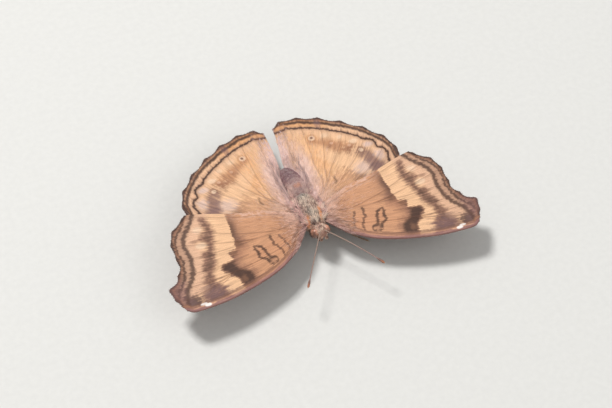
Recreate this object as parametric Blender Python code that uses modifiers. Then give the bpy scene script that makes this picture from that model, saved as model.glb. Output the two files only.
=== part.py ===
"""Chocolate pansy butterfly, Junonia iphita: a still, life-size model that basks with its wings spread flat.

The head looks along -Y, the left wings lie on +X and +Z is up. The legs stand on the floor at Z = 0, and the
origin is the middle of the model's box on that floor. Sizes below are in millimetres, measured from the middle
of the thorax, and MM turns them to metres. Each named object is one part of the body.
"""

from math import asin, cos, degrees, exp, pi, radians, sin, sqrt

import bmesh
import bpy
from mathutils import Matrix, Vector

MM = 0.001
GAP = 0.3  # between a part and what it grows from

# Stance
THORAX_HEIGHT = 6.0  # middle of the thorax above the floor
FOOT_SINK = 0.12  # how much of a round foot the floor's flat takes away

# Body
THORAX = {"centre": (0.0, 0.9, 0.0), "half": (2.5, 4.2, 2.35), "front": -2.35, "back": 4.35}
COLLAR = {"place": -1.75, "width": 0.3, "depth": 0.1}
CREASE = {"place": 2.75, "width": 0.4, "depth": 0.2}
CHEST_KEEL = 0.12
HEAD = {"centre": (0.25, -3.6, -0.05), "half": (1.25, 1.35, 1.3)}
EYE = {"offset": (1.12, -0.12, 0.12), "half": (0.82, 0.95, 1.05)}
ABDOMEN = {"front": 4.65, "back": 12.7, "half": (1.82, 1.6), "aside": 0.2, "bend": (-0.56, -0.7), "segments": 8}
PALP = {"base": (0.57, -5.26, -0.4), "tip": (0.46, -5.55, 0.8), "bow": (0, -0.1, -0.05), "radius": 0.34}
PROBOSCIS = {"centre": (0.16, -3.58, -2.3), "radius": 0.5, "inner": 0.44, "turns": 0.8, "thickness": 0.5}

# Feelers: bases and tips, and the club's share of the length
FEELER_BASE = (0.5, -4.6, 1.3)
FEELER_TIPS = {"left": (8.0, -15.5, 1.5), "right": (-7.4, -15.3, 1.5)}
FEELER_SAG = 0.5
FEELER_RADIUS = 0.25
CLUB_RADIUS = 0.42
CLUB_SHARE = 0.2

# Wings: membrane and veins
MEMBRANE = 0.5
VEIN_HEIGHT = 0.28  # both faces together
VEIN_HALF_WIDTH = 0.32
SCALLOP = 0.1  # how far the margin draws in between two veins, as a share of their distance
WIDE_SPACE = 1.8  # a space between two veins that is wider than this has three columns

# Fore wing seen from above: outwards from the midline, backwards from the thorax's middle
FORE = {
    "root": (2.3, -0.5, 0.6),
    "root_span": (-1.9, 0.8),
    "costa": ((3.9, -4.9), (5.6, -6.7), (10.8, -9.9), (19.8, -12.6), (27.3, -13.3)),
    "apex": (29.3, -12.6),
    "margin": ((30.6, -10.2), (31.1, -7.65), (29.3, -6.1), (27.9, -3.3), (27.9, 0.2), (27.1, 3.7)),
    "tornus": (23.3, 7.1),
    "dorsum": dict.fromkeys(("left", "right"), ((8.1, 3.6), (13.4, 4.6), (20.3, 6.5))),
    "camber": 0.5,
    "fold": 0.0,
    "cell": (0.52, "radius", "media_3"),
    # share across the wing at the root and at the margin, where the vein leaves its stem, where its ridge runs
    "veins": {
        "subcosta": (0.12, 0.015, 0.0, (0.0, 0.62)),
        "radius_4": (0.243, 0.05, 0.60, (0.60, 1.0)),
        "radius": (0.25, 0.13, 0.60, (0.0, 1.0)),
        "media_1": (0.262, 0.235, 0.50, (0.50, 1.0)),
        "media_2": (0.40, 0.385, 0.52, (0.52, 1.0)),
        "media_3": (0.553, 0.53, 0.50, (0.0, 1.0)),
        "cubitus_1": (0.562, 0.67, 0.42, (0.42, 1.0)),
        "cubitus_2": (0.571, 0.81, 0.27, (0.27, 1.0)),
        "anal": (0.86, 0.965, 0.0, (0.0, 1.0)),
    },
}

# Hind wing, the same way; its inner edge folds down beside the abdomen
HIND = {
    "root": (2.0, 3.2, -0.65),
    "root_span": (2.0, 4.1),
    "costa": ((5.0, 0.9), (10.0, 0.8), (16.0, 2.3), (20.4, 5.0)),
    "apex": (22.2, 8.6),
    "margin": ((22.2, 11.2), (20.8, 14.1), (17.3, 17.9), (12.6, 21.2), (8.2, 23.3), (3.4, 24.2)),
    "tornus": (0.9, 22.8),
    "dorsum": {
        "left": ((1.4, 7.5), (1.0, 10.6), (-0.2, 13.4), (0.1, 16.0), (0.45, 18.2), (0.8, 20.4)),
        "right": ((1.35, 8.0), (1.1, 13.0), (0.9, 18.0)),
    },
    "camber": 0.35,
    "fold": 1.4,
    "cell": (0.42, "radial_sector", "media_3"),
    "veins": {
        "subcosta": (0.10, 0.004, 0.0, (0.0, 1.0)),
        "radial_sector": (0.22, 0.05, 0.18, (0.0, 1.0)),
        "media_1": (0.235, 0.19, 0.36, (0.36, 1.0)),
        "media_2": (0.36, 0.34, 0.42, (0.42, 1.0)),
        "media_3": (0.50, 0.50, 0.42, (0.0, 1.0)),
        "cubitus_1": (0.512, 0.655, 0.34, (0.34, 1.0)),
        "cubitus_2": (0.524, 0.80, 0.22, (0.22, 1.0)),
        "anal_2": (0.74, 0.93, 0.0, (0.0, 1.0)),
    },
}

# Pose of each wing: rise towards the tip, rise towards the rear edge, and turn backwards, in degrees
WING_POSE = {
    ("fore", "left"): (2.2, 1.0, -1.8),
    ("fore", "right"): (3.0, 2.4, 1.8),
    ("hind", "left"): (0.8, 0.0, -1.6),
    ("hind", "right"): (3.2, -1.0, 1.6),
}

# Legs: hip, knee, ankle and toe for the left side; the fore pair is small and held folded
LEGS = {
    "midleg": ((0.95, 0.8, None), (5.0, -1.1, -2.4), (7.4, -2.9, None), (9.9, -5.6, None)),
    "hindleg": ((1.0, 2.8, None), (4.7, 5.4, -2.6), (6.6, 8.6, None), (8.0, 11.9, None)),
}
LEG_RADII = {"hip": 0.5, "thigh": 0.46, "knee": 0.36, "ankle": 0.29, "foot": 0.27}
HIP_LENGTH = 0.65
FORELEG = ((0.62, -1.3, -2.45), (0.7, -1.65, -2.98), (0.72, -2.1, -3.05), (0.68, -2.45, -2.85), (0.66, -2.65, -2.5))
FORELEG_RADII = (0.32, 0.32, 0.3, 0.27, 0.2)

SIDES = {"left": 1, "right": -1}
# Linear colour and roughness
COLOURS = {
    "wing": ((0.52, 0.30, 0.19), 0.75),
    "coat": ((0.36, 0.27, 0.22), 0.9),
    "eye": ((0.45, 0.27, 0.20), 0.3),
    "feeler": ((0.40, 0.33, 0.27), 0.6),
    "leg": ((0.42, 0.34, 0.27), 0.7),
}


def clear_scene():
    for thing in list(bpy.data.objects):
        bpy.data.objects.remove(thing, do_unlink=True)


def collection(name, hidden=False):
    group = bpy.data.collections.new(name)
    group.hide_render = hidden
    bpy.context.scene.collection.children.link(group)
    return group


def material(name, finish):
    colour, roughness = COLOURS[finish]
    skin = bpy.data.materials.new(name)
    skin.use_nodes = True
    shader = skin.node_tree.nodes["Principled BSDF"]
    shader.inputs["Base Color"].default_value = (*colour, 1.0)
    shader.inputs["Roughness"].default_value = roughness
    shader.inputs["Metallic"].default_value = 0.0
    return skin


def add(name, data, finish, group, stand):
    thing = bpy.data.objects.new(name, data)
    group.objects.link(thing)
    thing.parent = stand
    if finish:
        data.materials.append(material(name, finish))
    return thing


def mesh_from(bm, name):
    bmesh.ops.recalc_face_normals(bm, faces=bm.faces)
    mesh = bpy.data.meshes.new(name)
    bm.to_mesh(mesh)
    bm.free()
    mesh.shade_smooth()
    mesh.set_sharp_from_angle(angle=radians(50))
    return mesh


# Smooth lines


def line_through(points, steps=16):
    """Returns a function that gives the point at a share of the length of a smooth line through the points."""
    points = [Vector(p) for p in points]
    ends = [2 * points[0] - points[1], *points, 2 * points[-1] - points[-2]]
    line = []
    for a, b, c, d in zip(ends, ends[1:], ends[2:], ends[3:]):
        for k in range(steps):
            u = k / steps
            line.append(0.5 * (2 * b + (c - a) * u + (2 * a - 5 * b + 4 * c - d) * u**2 + (3 * b - a - 3 * c + d) * u**3))
    line.append(points[-1])
    lengths = [0.0]
    for a, b in zip(line, line[1:]):
        lengths.append(lengths[-1] + (b - a).length)

    def at(share):
        wanted = min(max(share, 0.0), 1.0) * lengths[-1]
        k = next(i for i in range(1, len(lengths)) if lengths[i] >= wanted - 1e-9)
        return line[k - 1].lerp(line[k], (wanted - lengths[k - 1]) / (lengths[k] - lengths[k - 1]))

    return at


def ease(x):
    x = min(max(x, 0.0), 1.0)
    return x * x * (3 - 2 * x)


# Body


def shaped_ball(name, across, along, place):
    """A ball whose poles lie along Y, with each point of the unit ball put where place says."""
    bm = bmesh.new()
    turn = Matrix.Rotation(pi / 2, 4, "X")
    bmesh.ops.create_uvsphere(bm, u_segments=across, v_segments=along, radius=1.0, matrix=turn)
    for vertex in bm.verts:
        vertex.co = Vector(place(vertex.co.copy())) * MM
    return bm


def cut_flat(bm, point, outward):
    """Cuts off what lies beyond a plane and closes the cut with one flat face."""
    geometry = bm.verts[:] + bm.edges[:] + bm.faces[:]
    cut = bmesh.ops.bisect_plane(
        bm, geom=geometry, plane_co=Vector(point) * MM, plane_no=outward, clear_outer=True, dist=1e-7
    )
    rim = [e for e in cut["geom_cut"] if isinstance(e, bmesh.types.BMEdge)]
    bmesh.ops.contextual_create(bm, geom=rim)


def thorax_half_width(y, z):
    """Half the thorax's width at a place along it and a height."""
    centre, half = THORAX["centre"], THORAX["half"]
    return half[0] * sqrt(max(0.0, 1 - ((y - centre[1]) / half[1]) ** 2 - (z / half[2]) ** 2))


def thorax_underside(x, y):
    centre, half = THORAX["centre"], THORAX["half"]
    return -half[2] * sqrt(max(0.0, 1 - ((y - centre[1]) / half[1]) ** 2 - (x / half[0]) ** 2))


def build_thorax(group, stand):
    centre, half = THORAX["centre"], THORAX["half"]

    def groove(form, y):
        return form["depth"] * exp(-(((y - form["place"]) / form["width"]) ** 2))

    def place(p):
        y = centre[1] + half[1] * p.y
        up = max(0.0, p.z)
        hollow = 1 - groove(COLLAR, y) * (0.4 + 0.6 * up)
        back = -groove(CREASE, y) * up - 0.12 * ease((y - CREASE["place"]) / 0.8) * up
        keel = -CHEST_KEEL * max(0.0, -p.z) * (1 - abs(p.x))
        return (half[0] * p.x * hollow, y, half[2] * p.z * hollow + back + keel)

    bm = shaped_ball("thorax", 24, 24, place)
    cut_flat(bm, (0, THORAX["front"], 0), (0, -1, 0))
    cut_flat(bm, (0, THORAX["back"], 0), (0, 1, 0))
    return add("thorax", mesh_from(bm, "thorax"), "coat", group, stand)


def build_abdomen(group, stand):
    front, back = ABDOMEN["front"], ABDOMEN["back"]
    length = back - front
    middle, reach = back - 0.62 * length, 0.62 * length

    def place(p):
        y = middle + reach * p.y
        share = (y - front) / length
        ring = 1 - 0.05 * abs(cos(pi * ABDOMEN["segments"] * share)) ** 6
        blunt = (1 - abs(p.y) ** 2.6) ** 0.5 / max(1e-6, sqrt(max(1e-12, 1 - p.y**2)))
        bend = max(0.0, share) ** 2
        return (
            ABDOMEN["half"][0] * p.x * blunt * ring + ABDOMEN["aside"] + ABDOMEN["bend"][0] * bend,
            y,
            ABDOMEN["half"][1] * p.z * blunt * ring + ABDOMEN["bend"][1] * bend,
        )

    bm = shaped_ball("abdomen", 18, 28, place)
    cut_flat(bm, (0, front, 0), (0, -1, 0))
    return add("abdomen", mesh_from(bm, "abdomen"), "coat", group, stand)


def build_head(group, stand, cutters):
    centre, half = HEAD["centre"], HEAD["half"]
    bm = shaped_ball("head", 18, 14, lambda p: [c + h * k for c, h, k in zip(centre, half, p)])
    cut_flat(bm, (0, THORAX["front"] - GAP, 0), (0, 1, 0))
    head = add("head", mesh_from(bm, "head"), "coat", group, stand)
    for side, sign in SIDES.items():
        offset = Vector(EYE["offset"]) * Vector((sign, 1, 1))
        place = Vector(centre) + offset
        for name, grow, finish, where in (
            (f"eye_{side}", 0.0, "eye", group),
            (f"eye_{side}_socket", GAP, None, cutters),
        ):
            size = [h + grow for h in EYE["half"]]
            ball = shaped_ball(name, 18, 14, lambda p, s=size, c=place: [c[i] + s[i] * p[i] for i in range(3)])
            thing = add(name, mesh_from(ball, name), finish, where, stand)
        thing.hide_render = True
        thing.display_type = "WIRE"
        cut = head.modifiers.new(f"socket_{side}", "BOOLEAN")
        cut.operation = "DIFFERENCE"
        cut.solver = "EXACT"
        cut.object = thing
    return head


# Tubes


def tube(name, points, radii, finish, group, stand, sides=1):
    """A rod of changing thickness along points, with flat ends."""
    data = bpy.data.curves.new(name, "CURVE")
    data.dimensions = "3D"
    data.bevel_depth = MM
    data.bevel_resolution = sides
    data.use_fill_caps = True
    spline = data.splines.new("POLY")
    spline.points.add(len(points) - 1)
    for knot, place, radius in zip(spline.points, points, radii):
        knot.co = (*(Vector(place) * MM), 1.0)
        knot.radius = radius
    return add(name, data, finish, group, stand)


def made_mesh(thing):
    """Turns a curve object into a closed mesh object of the same name."""
    graph = bpy.context.evaluated_depsgraph_get()
    mesh = bpy.data.meshes.new_from_object(thing.evaluated_get(graph))
    name, group, stand = thing.name, thing.users_collection[0], thing.parent
    place = thing.matrix_world.copy()
    bpy.data.objects.remove(thing, do_unlink=True)
    bm = bmesh.new()
    bm.from_mesh(mesh)
    bmesh.ops.remove_doubles(bm, verts=bm.verts, dist=1e-7)
    bm.to_mesh(mesh)
    bm.free()
    mesh.name = name
    solid = bpy.data.objects.new(name, mesh)
    group.objects.link(solid)
    solid.parent = stand
    solid.matrix_world = place
    return solid


def build_feelers(group, stand):
    for side, sign in SIDES.items():
        base = Vector((HEAD["centre"][0] + sign * FEELER_BASE[0], *FEELER_BASE[1:]))
        tip = Vector(FEELER_TIPS[side])
        sag = Vector((0, 0, FEELER_SAG))
        steps = 14
        points, radii = [], []
        for k in range(steps + 1):
            share = k / steps
            points.append(base.lerp(tip, share) + sag * 4 * share * (1 - share))
            club = ease((share - 1 + CLUB_SHARE) / (0.5 * CLUB_SHARE))
            radius = FEELER_RADIUS + (CLUB_RADIUS - FEELER_RADIUS) * club
            radii.append(radius if k < steps else 0.5 * CLUB_RADIUS)
        tube(f"antenna_{side}", points, radii, "feeler", group, stand)


def build_mouth(group, stand):
    for side, sign in SIDES.items():
        middle = HEAD["centre"][0]
        base, tip = (Vector((middle + sign * p[0], p[1], p[2])) for p in (PALP["base"], PALP["tip"]))
        shares = (0.0, 0.2, 0.45, 0.7, 0.88, 1.0)
        radii = [PALP["radius"] * r for r in (0.8, 1.0, 1.0, 0.85, 0.65, 0.35)]
        points = [base.lerp(tip, s) + Vector(PALP["bow"]) * 4 * s * (1 - s) for s in shares]
        tube(f"palp_{side}", points, radii, "coat", group, stand)
    centre, steps = Vector(PROBOSCIS["centre"]), 22
    points = []
    for k in range(steps + 1):
        angle = pi / 2 + 2 * pi * PROBOSCIS["turns"] * k / steps
        radius = PROBOSCIS["radius"] + (PROBOSCIS["inner"] - PROBOSCIS["radius"]) * k / steps
        points.append(centre + radius * Vector((0, cos(angle), sin(angle))))
    thickness = [0.5 * PROBOSCIS["thickness"] * (1 - 0.4 * k / steps) for k in range(steps + 1)]
    tube("proboscis", points, thickness, "leg", group, stand)


def build_legs(group, stand):
    floor = -THORAX_HEIGHT
    foot_height = floor + LEG_RADII["foot"] - FOOT_SINK
    for side, sign in SIDES.items():
        points = [(HEAD["centre"][0] * 0.5 + sign * x, y, z) for x, y, z in FORELEG]
        tube(f"foreleg_{side}", points, FORELEG_RADII, "leg", group, stand)
        for leg, (hip, knee, ankle, toe) in LEGS.items():
            hip = Vector((hip[0], hip[1], thorax_underside(hip[0], hip[1]) - GAP - 0.1))
            thigh = hip + Vector((0.2, 0, -HIP_LENGTH))
            ankle = Vector((ankle[0], ankle[1], foot_height + 0.3))
            toe = Vector((toe[0], toe[1], foot_height))
            landing = ankle.lerp(toe, 0.14)
            landing.z = foot_height
            joints = [(hip, "hip"), (thigh, "thigh"), (Vector(knee), "knee"), (ankle, "ankle")]
            route, radii = [hip], [LEG_RADII["hip"]]
            for (start, width), (end, next_width) in zip(joints, joints[1:]):
                for share in (0.3, 0.75, 1.0) if width != "hip" else (0.8,):
                    route.append(start.lerp(end, share))
                    radii.append(LEG_RADII[width] + (LEG_RADII[next_width] - LEG_RADII[width]) * share)
            route += [landing, toe]
            radii += [LEG_RADII["foot"]] * 2
            points = [(sign * p.x, p.y, p.z) for p in route]
            thing = made_mesh(tube(f"{leg}_{side}", points, radii, "leg", group, stand, sides=2))
            bm = bmesh.new()
            bm.from_mesh(thing.data)
            cut_flat(bm, (0, 0, floor), (0, 0, -1))
            bm.to_mesh(thing.data)
            bm.free()


# Wings


def wing_plan(wing, side):
    """Returns a function from (share outwards, share backwards) to the place on one side's flat wing."""
    height = max(0.0, abs(wing["root"][2]) - 0.5 * MEMBRANE)
    front, rear = wing["root_span"]
    apex, tornus = Vector(wing["apex"]), Vector(wing["tornus"])

    def root(t):
        y = front + (rear - front) * t
        return Vector((thorax_half_width(y, height) + GAP, y))

    costa = line_through([root(0), *wing["costa"], apex])
    dorsum = line_through([root(1), *wing["dorsum"][side], tornus])
    margin = line_through([apex, *wing["margin"], tornus])

    def plan(s, t):
        between = costa(s).lerp(dorsum(s), t)
        inner = root(t) - root(0).lerp(root(1), t)
        outer = margin(t) - apex.lerp(tornus, t)
        return between + inner * (1 - s) + outer * s**1.4

    return plan


def vein_share(vein, s):
    """How far back across the wing a vein lies: along its stem first, then out to its own end."""
    start, end, leaves, _ = vein
    u = max(0.0, (s - leaves) / (1 - leaves))
    return start + (end - start) * (1 - (1 - u) ** 1.6)


def wing_columns(wing, s, width, margin_width):
    """Shares across the wing at one row, each with how far it lies from the middle of its space (0 is the middle)."""
    veins = wing["veins"].values()
    crests = [0.0] + [vein_share(v, s) for v in veins] + [1.0]
    ends = [0.0] + [vein_share(v, 1.0) for v in veins] + [1.0]
    columns = [(0.0, 1.0, 0.0)]
    for (a, b), (start, end) in zip(zip(crests, crests[1:]), zip(ends, ends[1:])):
        space = (end - start) * margin_width
        foot = min(VEIN_HALF_WIDTH / width, 0.3 * (b - a))
        columns.append((a + foot, 1.0, space))
        for share in (0.25, 0.5, 0.75) if space > WIDE_SPACE else (0.5,):
            columns.append((a + foot + (b - a - 2 * foot) * share, abs(2 * share - 1), space))
        columns += [(b - foot, 1.0, space), (b, 1.0, 0.0)]
    return columns


def vein_ridge(wing, s, t, width):
    """Height of the veins at a place on the wing, from 0 on the membrane to 1 on the crest of a thick vein."""
    found = max(0.0, 1 - t * width / VEIN_HALF_WIDTH)
    for vein in wing["veins"].values():
        start, stop = vein[3]
        on = ease((s - start + 0.04) / 0.04) * ease((stop + 0.04 - s) / 0.04)
        away = abs(t - vein_share(vein, s)) * width
        found = max(found, on * max(0.0, 1 - away / VEIN_HALF_WIDTH))
    cell, front, rear = wing["cell"]
    if s == cell and vein_share(wing["veins"][front], s) < t < vein_share(wing["veins"][rear], s):
        found = max(found, 0.6)
    return found * (1 - 0.45 * s)


def build_wing(kind, side, wing, rows, group, stand):
    sign = SIDES[side]
    plan = wing_plan(wing, side)
    root = Vector(wing["root"])
    cell = wing["cell"][0]
    rows = sorted(set(rows) | {cell - 0.02, cell, cell + 0.02})
    widths = [(plan(s, 1) - plan(s, 0)).length for s in rows]
    margin_width = sum((plan(1, (k + 1) / 40) - plan(1, k / 40)).length for k in range(40))
    table = [wing_columns(wing, s, width, margin_width) for s, width in zip(rows, widths)]
    bm = bmesh.new()
    bmesh.ops.create_grid(bm, x_segments=len(table[0]) - 1, y_segments=len(rows) - 1, size=0.5)
    bmesh.ops.triangulate(bm, faces=bm.faces)
    weights = {}
    for vertex in bm.verts:
        column = round((vertex.co.x + 0.5) * (len(table[0]) - 1))
        row = round((vertex.co.y + 0.5) * (len(rows) - 1))
        s, (t, away, space) = rows[row], table[row][column]
        flat = plan(s, t)
        inward = plan(0.9, t) - plan(1, t)
        flat += inward.normalized() * SCALLOP * space * (1 - away**2) * ease((s - 0.85) / 0.15)
        rise = wing["camber"] * sin(pi * min(1.0, s + 0.05)) * sin(pi * t)
        beside = ease((2.7 - flat.x) / 1.4) * ease((14.5 - flat.y) / 3.0) * ease(8 * s)
        place = Vector((flat.x - root.x, flat.y - root.y, rise - wing["fold"] * beside))
        vertex.co = Vector((sign * place.x, place.y, place.z)) * MM
        ridge = vein_ridge(wing, s, t, widths[row])
        weights[vertex.index] = (MEMBRANE + VEIN_HEIGHT * ridge) / (MEMBRANE + VEIN_HEIGHT)
    name = f"{kind}wing_{side}"
    mesh = mesh_from(bm, name)
    thing = add(name, mesh, "wing", group, stand)
    thick = thing.vertex_groups.new(name="thickness")
    for index, weight in weights.items():
        thick.add([index], weight, "REPLACE")
    solid = thing.modifiers.new("membrane", "SOLIDIFY")
    solid.thickness = (MEMBRANE + VEIN_HEIGHT) * MM
    solid.offset = 0.0
    solid.vertex_group = thick.name
    rise, twist, sweep = (radians(a) for a in WING_POSE[kind, side])
    turn = Matrix.Rotation(-sign * rise, 4, "Y") @ Matrix.Rotation(twist, 4, "X") @ Matrix.Rotation(sign * sweep, 4, "Z")
    thing.matrix_local = Matrix.Translation(Vector((sign * root.x, root.y, root.z)) * MM) @ turn
    return thing


def build_wings(group, stand):
    fore_rows = [0.0, 0.05, 0.12, 0.2, 0.27, 0.35, 0.43, 0.6, 0.7, 0.8, 0.9, 1.0]
    hind_rows = [0.0, 0.05, 0.12, 0.2, 0.28, 0.35, 0.55, 0.68, 0.8, 0.9, 1.0]
    for side in SIDES:
        build_wing("fore", side, FORE, fore_rows, group, stand)
        build_wing("hind", side, HIND, hind_rows, group, stand)


def set_on_floor(group, stand):
    """Moves the stand so that the middle of the model's box is over the origin and the feet are at Z = 0."""
    bpy.context.view_layer.update()
    graph = bpy.context.evaluated_depsgraph_get()
    low, high = Vector((1, 1, 1)), Vector((-1, -1, -1))
    for thing in group.objects:
        solid = thing.evaluated_get(graph)
        for vertex in solid.to_mesh().vertices:
            place = solid.matrix_world @ vertex.co
            low = Vector(map(min, low, place))
            high = Vector(map(max, high, place))
        solid.to_mesh_clear()
    middle = 0.5 * (low + high)
    stand.location = (-middle.x, -middle.y, THORAX_HEIGHT * MM)


def main():
    clear_scene()
    group = collection("chocolate_pansy_butterfly")
    cutters = collection("cutters", hidden=True)
    stand = bpy.data.objects.new("butterfly", None)
    bpy.context.scene.collection.objects.link(stand)
    build_thorax(group, stand)
    build_abdomen(group, stand)
    build_head(group, stand, cutters)
    build_feelers(group, stand)
    build_mouth(group, stand)
    build_legs(group, stand)
    build_wings(group, stand)
    set_on_floor(group, stand)


main()
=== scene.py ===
"""Looks of a life-size chocolate pansy butterfly, Junonia iphita, that basks with its wings spread flat.

Laid out as a Blender add-on and run as a script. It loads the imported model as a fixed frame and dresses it: thin
veined wings with their markings and fringes, one skin from head to tail with hair and scales rooted in it, eyes
with facets, ringed feelers, a coiled tongue and spined legs. Sizes are in millimetres from the middle of the
thorax, with the head along -Y and the left wings on +X, and place() puts them in the model's own frame.
"""

from math import cos, pi, radians, sin

import bpy
import numpy as np
from mathutils import Matrix, Vector


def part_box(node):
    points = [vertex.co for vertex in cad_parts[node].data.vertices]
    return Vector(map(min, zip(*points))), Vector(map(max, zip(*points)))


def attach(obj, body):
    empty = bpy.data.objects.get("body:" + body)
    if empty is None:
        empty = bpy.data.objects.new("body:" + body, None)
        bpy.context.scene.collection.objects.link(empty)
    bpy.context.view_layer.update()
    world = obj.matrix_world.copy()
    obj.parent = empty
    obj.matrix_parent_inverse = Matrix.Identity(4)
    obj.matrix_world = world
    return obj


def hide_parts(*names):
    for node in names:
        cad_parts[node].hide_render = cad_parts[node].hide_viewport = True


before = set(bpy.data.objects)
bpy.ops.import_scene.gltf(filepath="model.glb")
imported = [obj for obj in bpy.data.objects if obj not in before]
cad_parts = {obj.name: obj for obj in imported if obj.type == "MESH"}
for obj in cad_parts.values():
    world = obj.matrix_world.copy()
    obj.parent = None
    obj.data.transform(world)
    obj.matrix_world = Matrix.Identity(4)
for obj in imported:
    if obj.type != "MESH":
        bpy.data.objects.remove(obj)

bl_info = {
    "name": "Chocolate Pansy Butterfly",
    "version": (1, 0, 0),
    "blender": (4, 5, 0),
    "location": "View3D > Sidebar > Butterfly",
    "description": "Dresses the frame of a basking butterfly with wings, skin, hair, eyes, feelers and legs",
    "category": "Add Mesh",
}

MM = 0.001
SIDES = {"left": 1, "right": -1}
THORAX_HEIGHT = 6.0  # middle of the thorax above the floor
THORAX_LOW, THORAX_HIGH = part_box("thorax")

# Body: middles, half sizes and bends
THORAX = {"centre": (0.0, 0.9, 0.0), "half": (2.5, 4.2, 2.35), "front": -2.35}
HEAD = {"centre": (0.25, -3.6, -0.05), "half": (1.25, 1.35, 1.3)}
EYE = {"offset": (1.12, -0.12, 0.12), "half": (0.82, 0.95, 1.05)}
ABDOMEN = {"front": 4.65, "back": 12.7, "half": (1.82, 1.6), "aside": 0.2, "bend": (-0.56, -0.7), "segments": 8}
PALP = {"base": (0.57, -5.26, -0.4), "tip": (0.46, -5.55, 0.8), "bow": (0, -0.1, -0.05), "radius": 0.34}
PROBOSCIS = {"centre": (0.16, -3.58, -2.3), "radius": 0.6, "inner": 0.2, "turns": 2.2, "thickness": 0.16}
FEELER_BASE = (0.5, -4.6, 1.3)
FEELER_TIPS = {"left": (8.0, -15.5, 1.5), "right": (-7.4, -15.3, 1.5)}
FEELER_SAG = 0.5
LEGS = {
    "midleg": ((0.95, 0.8, None), (5.0, -1.1, -2.4), (7.4, -2.9, None), (9.9, -5.6, None)),
    "hindleg": ((1.0, 2.8, None), (4.7, 5.4, -2.6), (6.6, 8.6, None), (8.0, 11.9, None)),
}
FORELEG = ((0.62, -1.3, -2.2), (0.7, -1.65, -2.98), (0.72, -2.1, -3.05), (0.68, -2.45, -2.85), (0.66, -2.65, -2.5))
FOOT_HEIGHT = 0.15 - THORAX_HEIGHT

# Wings seen from above: outwards from the midline, backwards from the thorax's middle. Each vein has its share
# across the wing at the root and at the margin, where it leaves its stem and where it is raised.
CAD_MEMBRANE = 0.5  # thickness of the frame's wings
WINGS = {
    "fore": {
        "root": (2.3, -0.5, 0.6),
        "root_span": (-1.9, 0.8),
        "costa": ((3.9, -4.9), (5.6, -6.7), (10.8, -9.9), (19.8, -12.6), (27.3, -13.3)),
        "apex": (29.3, -12.6),
        "margin": ((30.6, -10.2), (31.1, -7.65), (29.3, -6.1), (27.9, -3.3), (27.9, 0.2), (27.1, 3.7)),
        "tornus": (23.3, 7.1),
        "dorsum": dict.fromkeys(SIDES, ((8.1, 3.6), (13.4, 4.6), (20.3, 6.5))),
        "camber": 0.5,
        "fold": 0.0,
        "veins": {
            "subcosta": (0.12, 0.015, 0.0, (0.0, 0.62)),
            "radius_4": (0.243, 0.05, 0.60, (0.60, 1.0)),
            "radius": (0.25, 0.13, 0.60, (0.0, 1.0)),
            "media_1": (0.262, 0.235, 0.50, (0.50, 1.0)),
            "media_2": (0.40, 0.385, 0.52, (0.52, 1.0)),
            "media_3": (0.553, 0.53, 0.50, (0.0, 1.0)),
            "cubitus_1": (0.562, 0.67, 0.42, (0.42, 1.0)),
            "cubitus_2": (0.571, 0.81, 0.27, (0.27, 1.0)),
            "anal": (0.86, 0.965, 0.0, (0.0, 1.0)),
        },
    },
    "hind": {
        "root": (2.0, 3.2, -0.65),
        "root_span": (2.0, 4.1),
        "costa": ((5.0, 0.9), (10.0, 0.8), (16.0, 2.3), (20.4, 5.0)),
        "apex": (22.2, 8.6),
        "margin": ((22.2, 11.2), (20.8, 14.1), (17.3, 17.9), (12.6, 21.2), (8.2, 23.3), (3.4, 24.2)),
        "tornus": (0.9, 22.8),
        "dorsum": {
            "left": ((1.4, 7.5), (1.0, 10.6), (-0.2, 13.4), (0.1, 16.0), (0.45, 18.2), (0.8, 20.4)),
            "right": ((1.35, 8.0), (1.1, 13.0), (0.9, 18.0)),
        },
        "camber": 0.35,
        "fold": 1.4,
        "veins": {
            "subcosta": (0.10, 0.004, 0.0, (0.0, 1.0)),
            "radial_sector": (0.22, 0.05, 0.18, (0.0, 1.0)),
            "media_1": (0.235, 0.19, 0.36, (0.36, 1.0)),
            "media_2": (0.36, 0.34, 0.42, (0.42, 1.0)),
            "media_3": (0.50, 0.50, 0.42, (0.0, 1.0)),
            "cubitus_1": (0.512, 0.655, 0.34, (0.34, 1.0)),
            "cubitus_2": (0.524, 0.80, 0.22, (0.22, 1.0)),
            "anal_2": (0.74, 0.93, 0.0, (0.0, 1.0)),
        },
    },
}
# Pose of each wing: rise towards the tip, rise towards the rear edge, and turn backwards, in degrees
WING_POSE = {
    ("fore", "left"): (2.2, 1.0, -1.8),
    ("fore", "right"): (3.0, 2.4, 1.8),
    ("hind", "left"): (0.8, 0.0, -1.6),
    ("hind", "right"): (3.2, -1.0, 1.6),
}
SCALLOP = 0.1  # depth of a scallop of the margin, as a share of the width between two veins
FLUTE = 0.09  # how far the membrane sinks between two veins that are well apart
RIDGES = {"vein": (0.26, 0.5), "costal": (0.35, 0.6)}  # half width of a raised vein, and how much it fades outwards
MARGIN_TAPER = 0.45  # how much thinner the membrane gets at the margin
ROOT_OVERLAP = 0.25  # how far a wing's root goes into the skin
WING_STEP = 0.19  # distance between vertices of a wing
FAN_WIDTH = 14.0  # width that a wing is taken to have all along it, where streaks fan out over it
# Fringe: distance between two scales, how far inside the margin they start, their width, half the distance between
# the two rows, and how far the margin draws back to make room, as a share of their length
FRINGE = {"step": 0.1, "root": 0.24, "width": 0.14, "apart": 0.025, "inset": 0.45}

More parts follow.
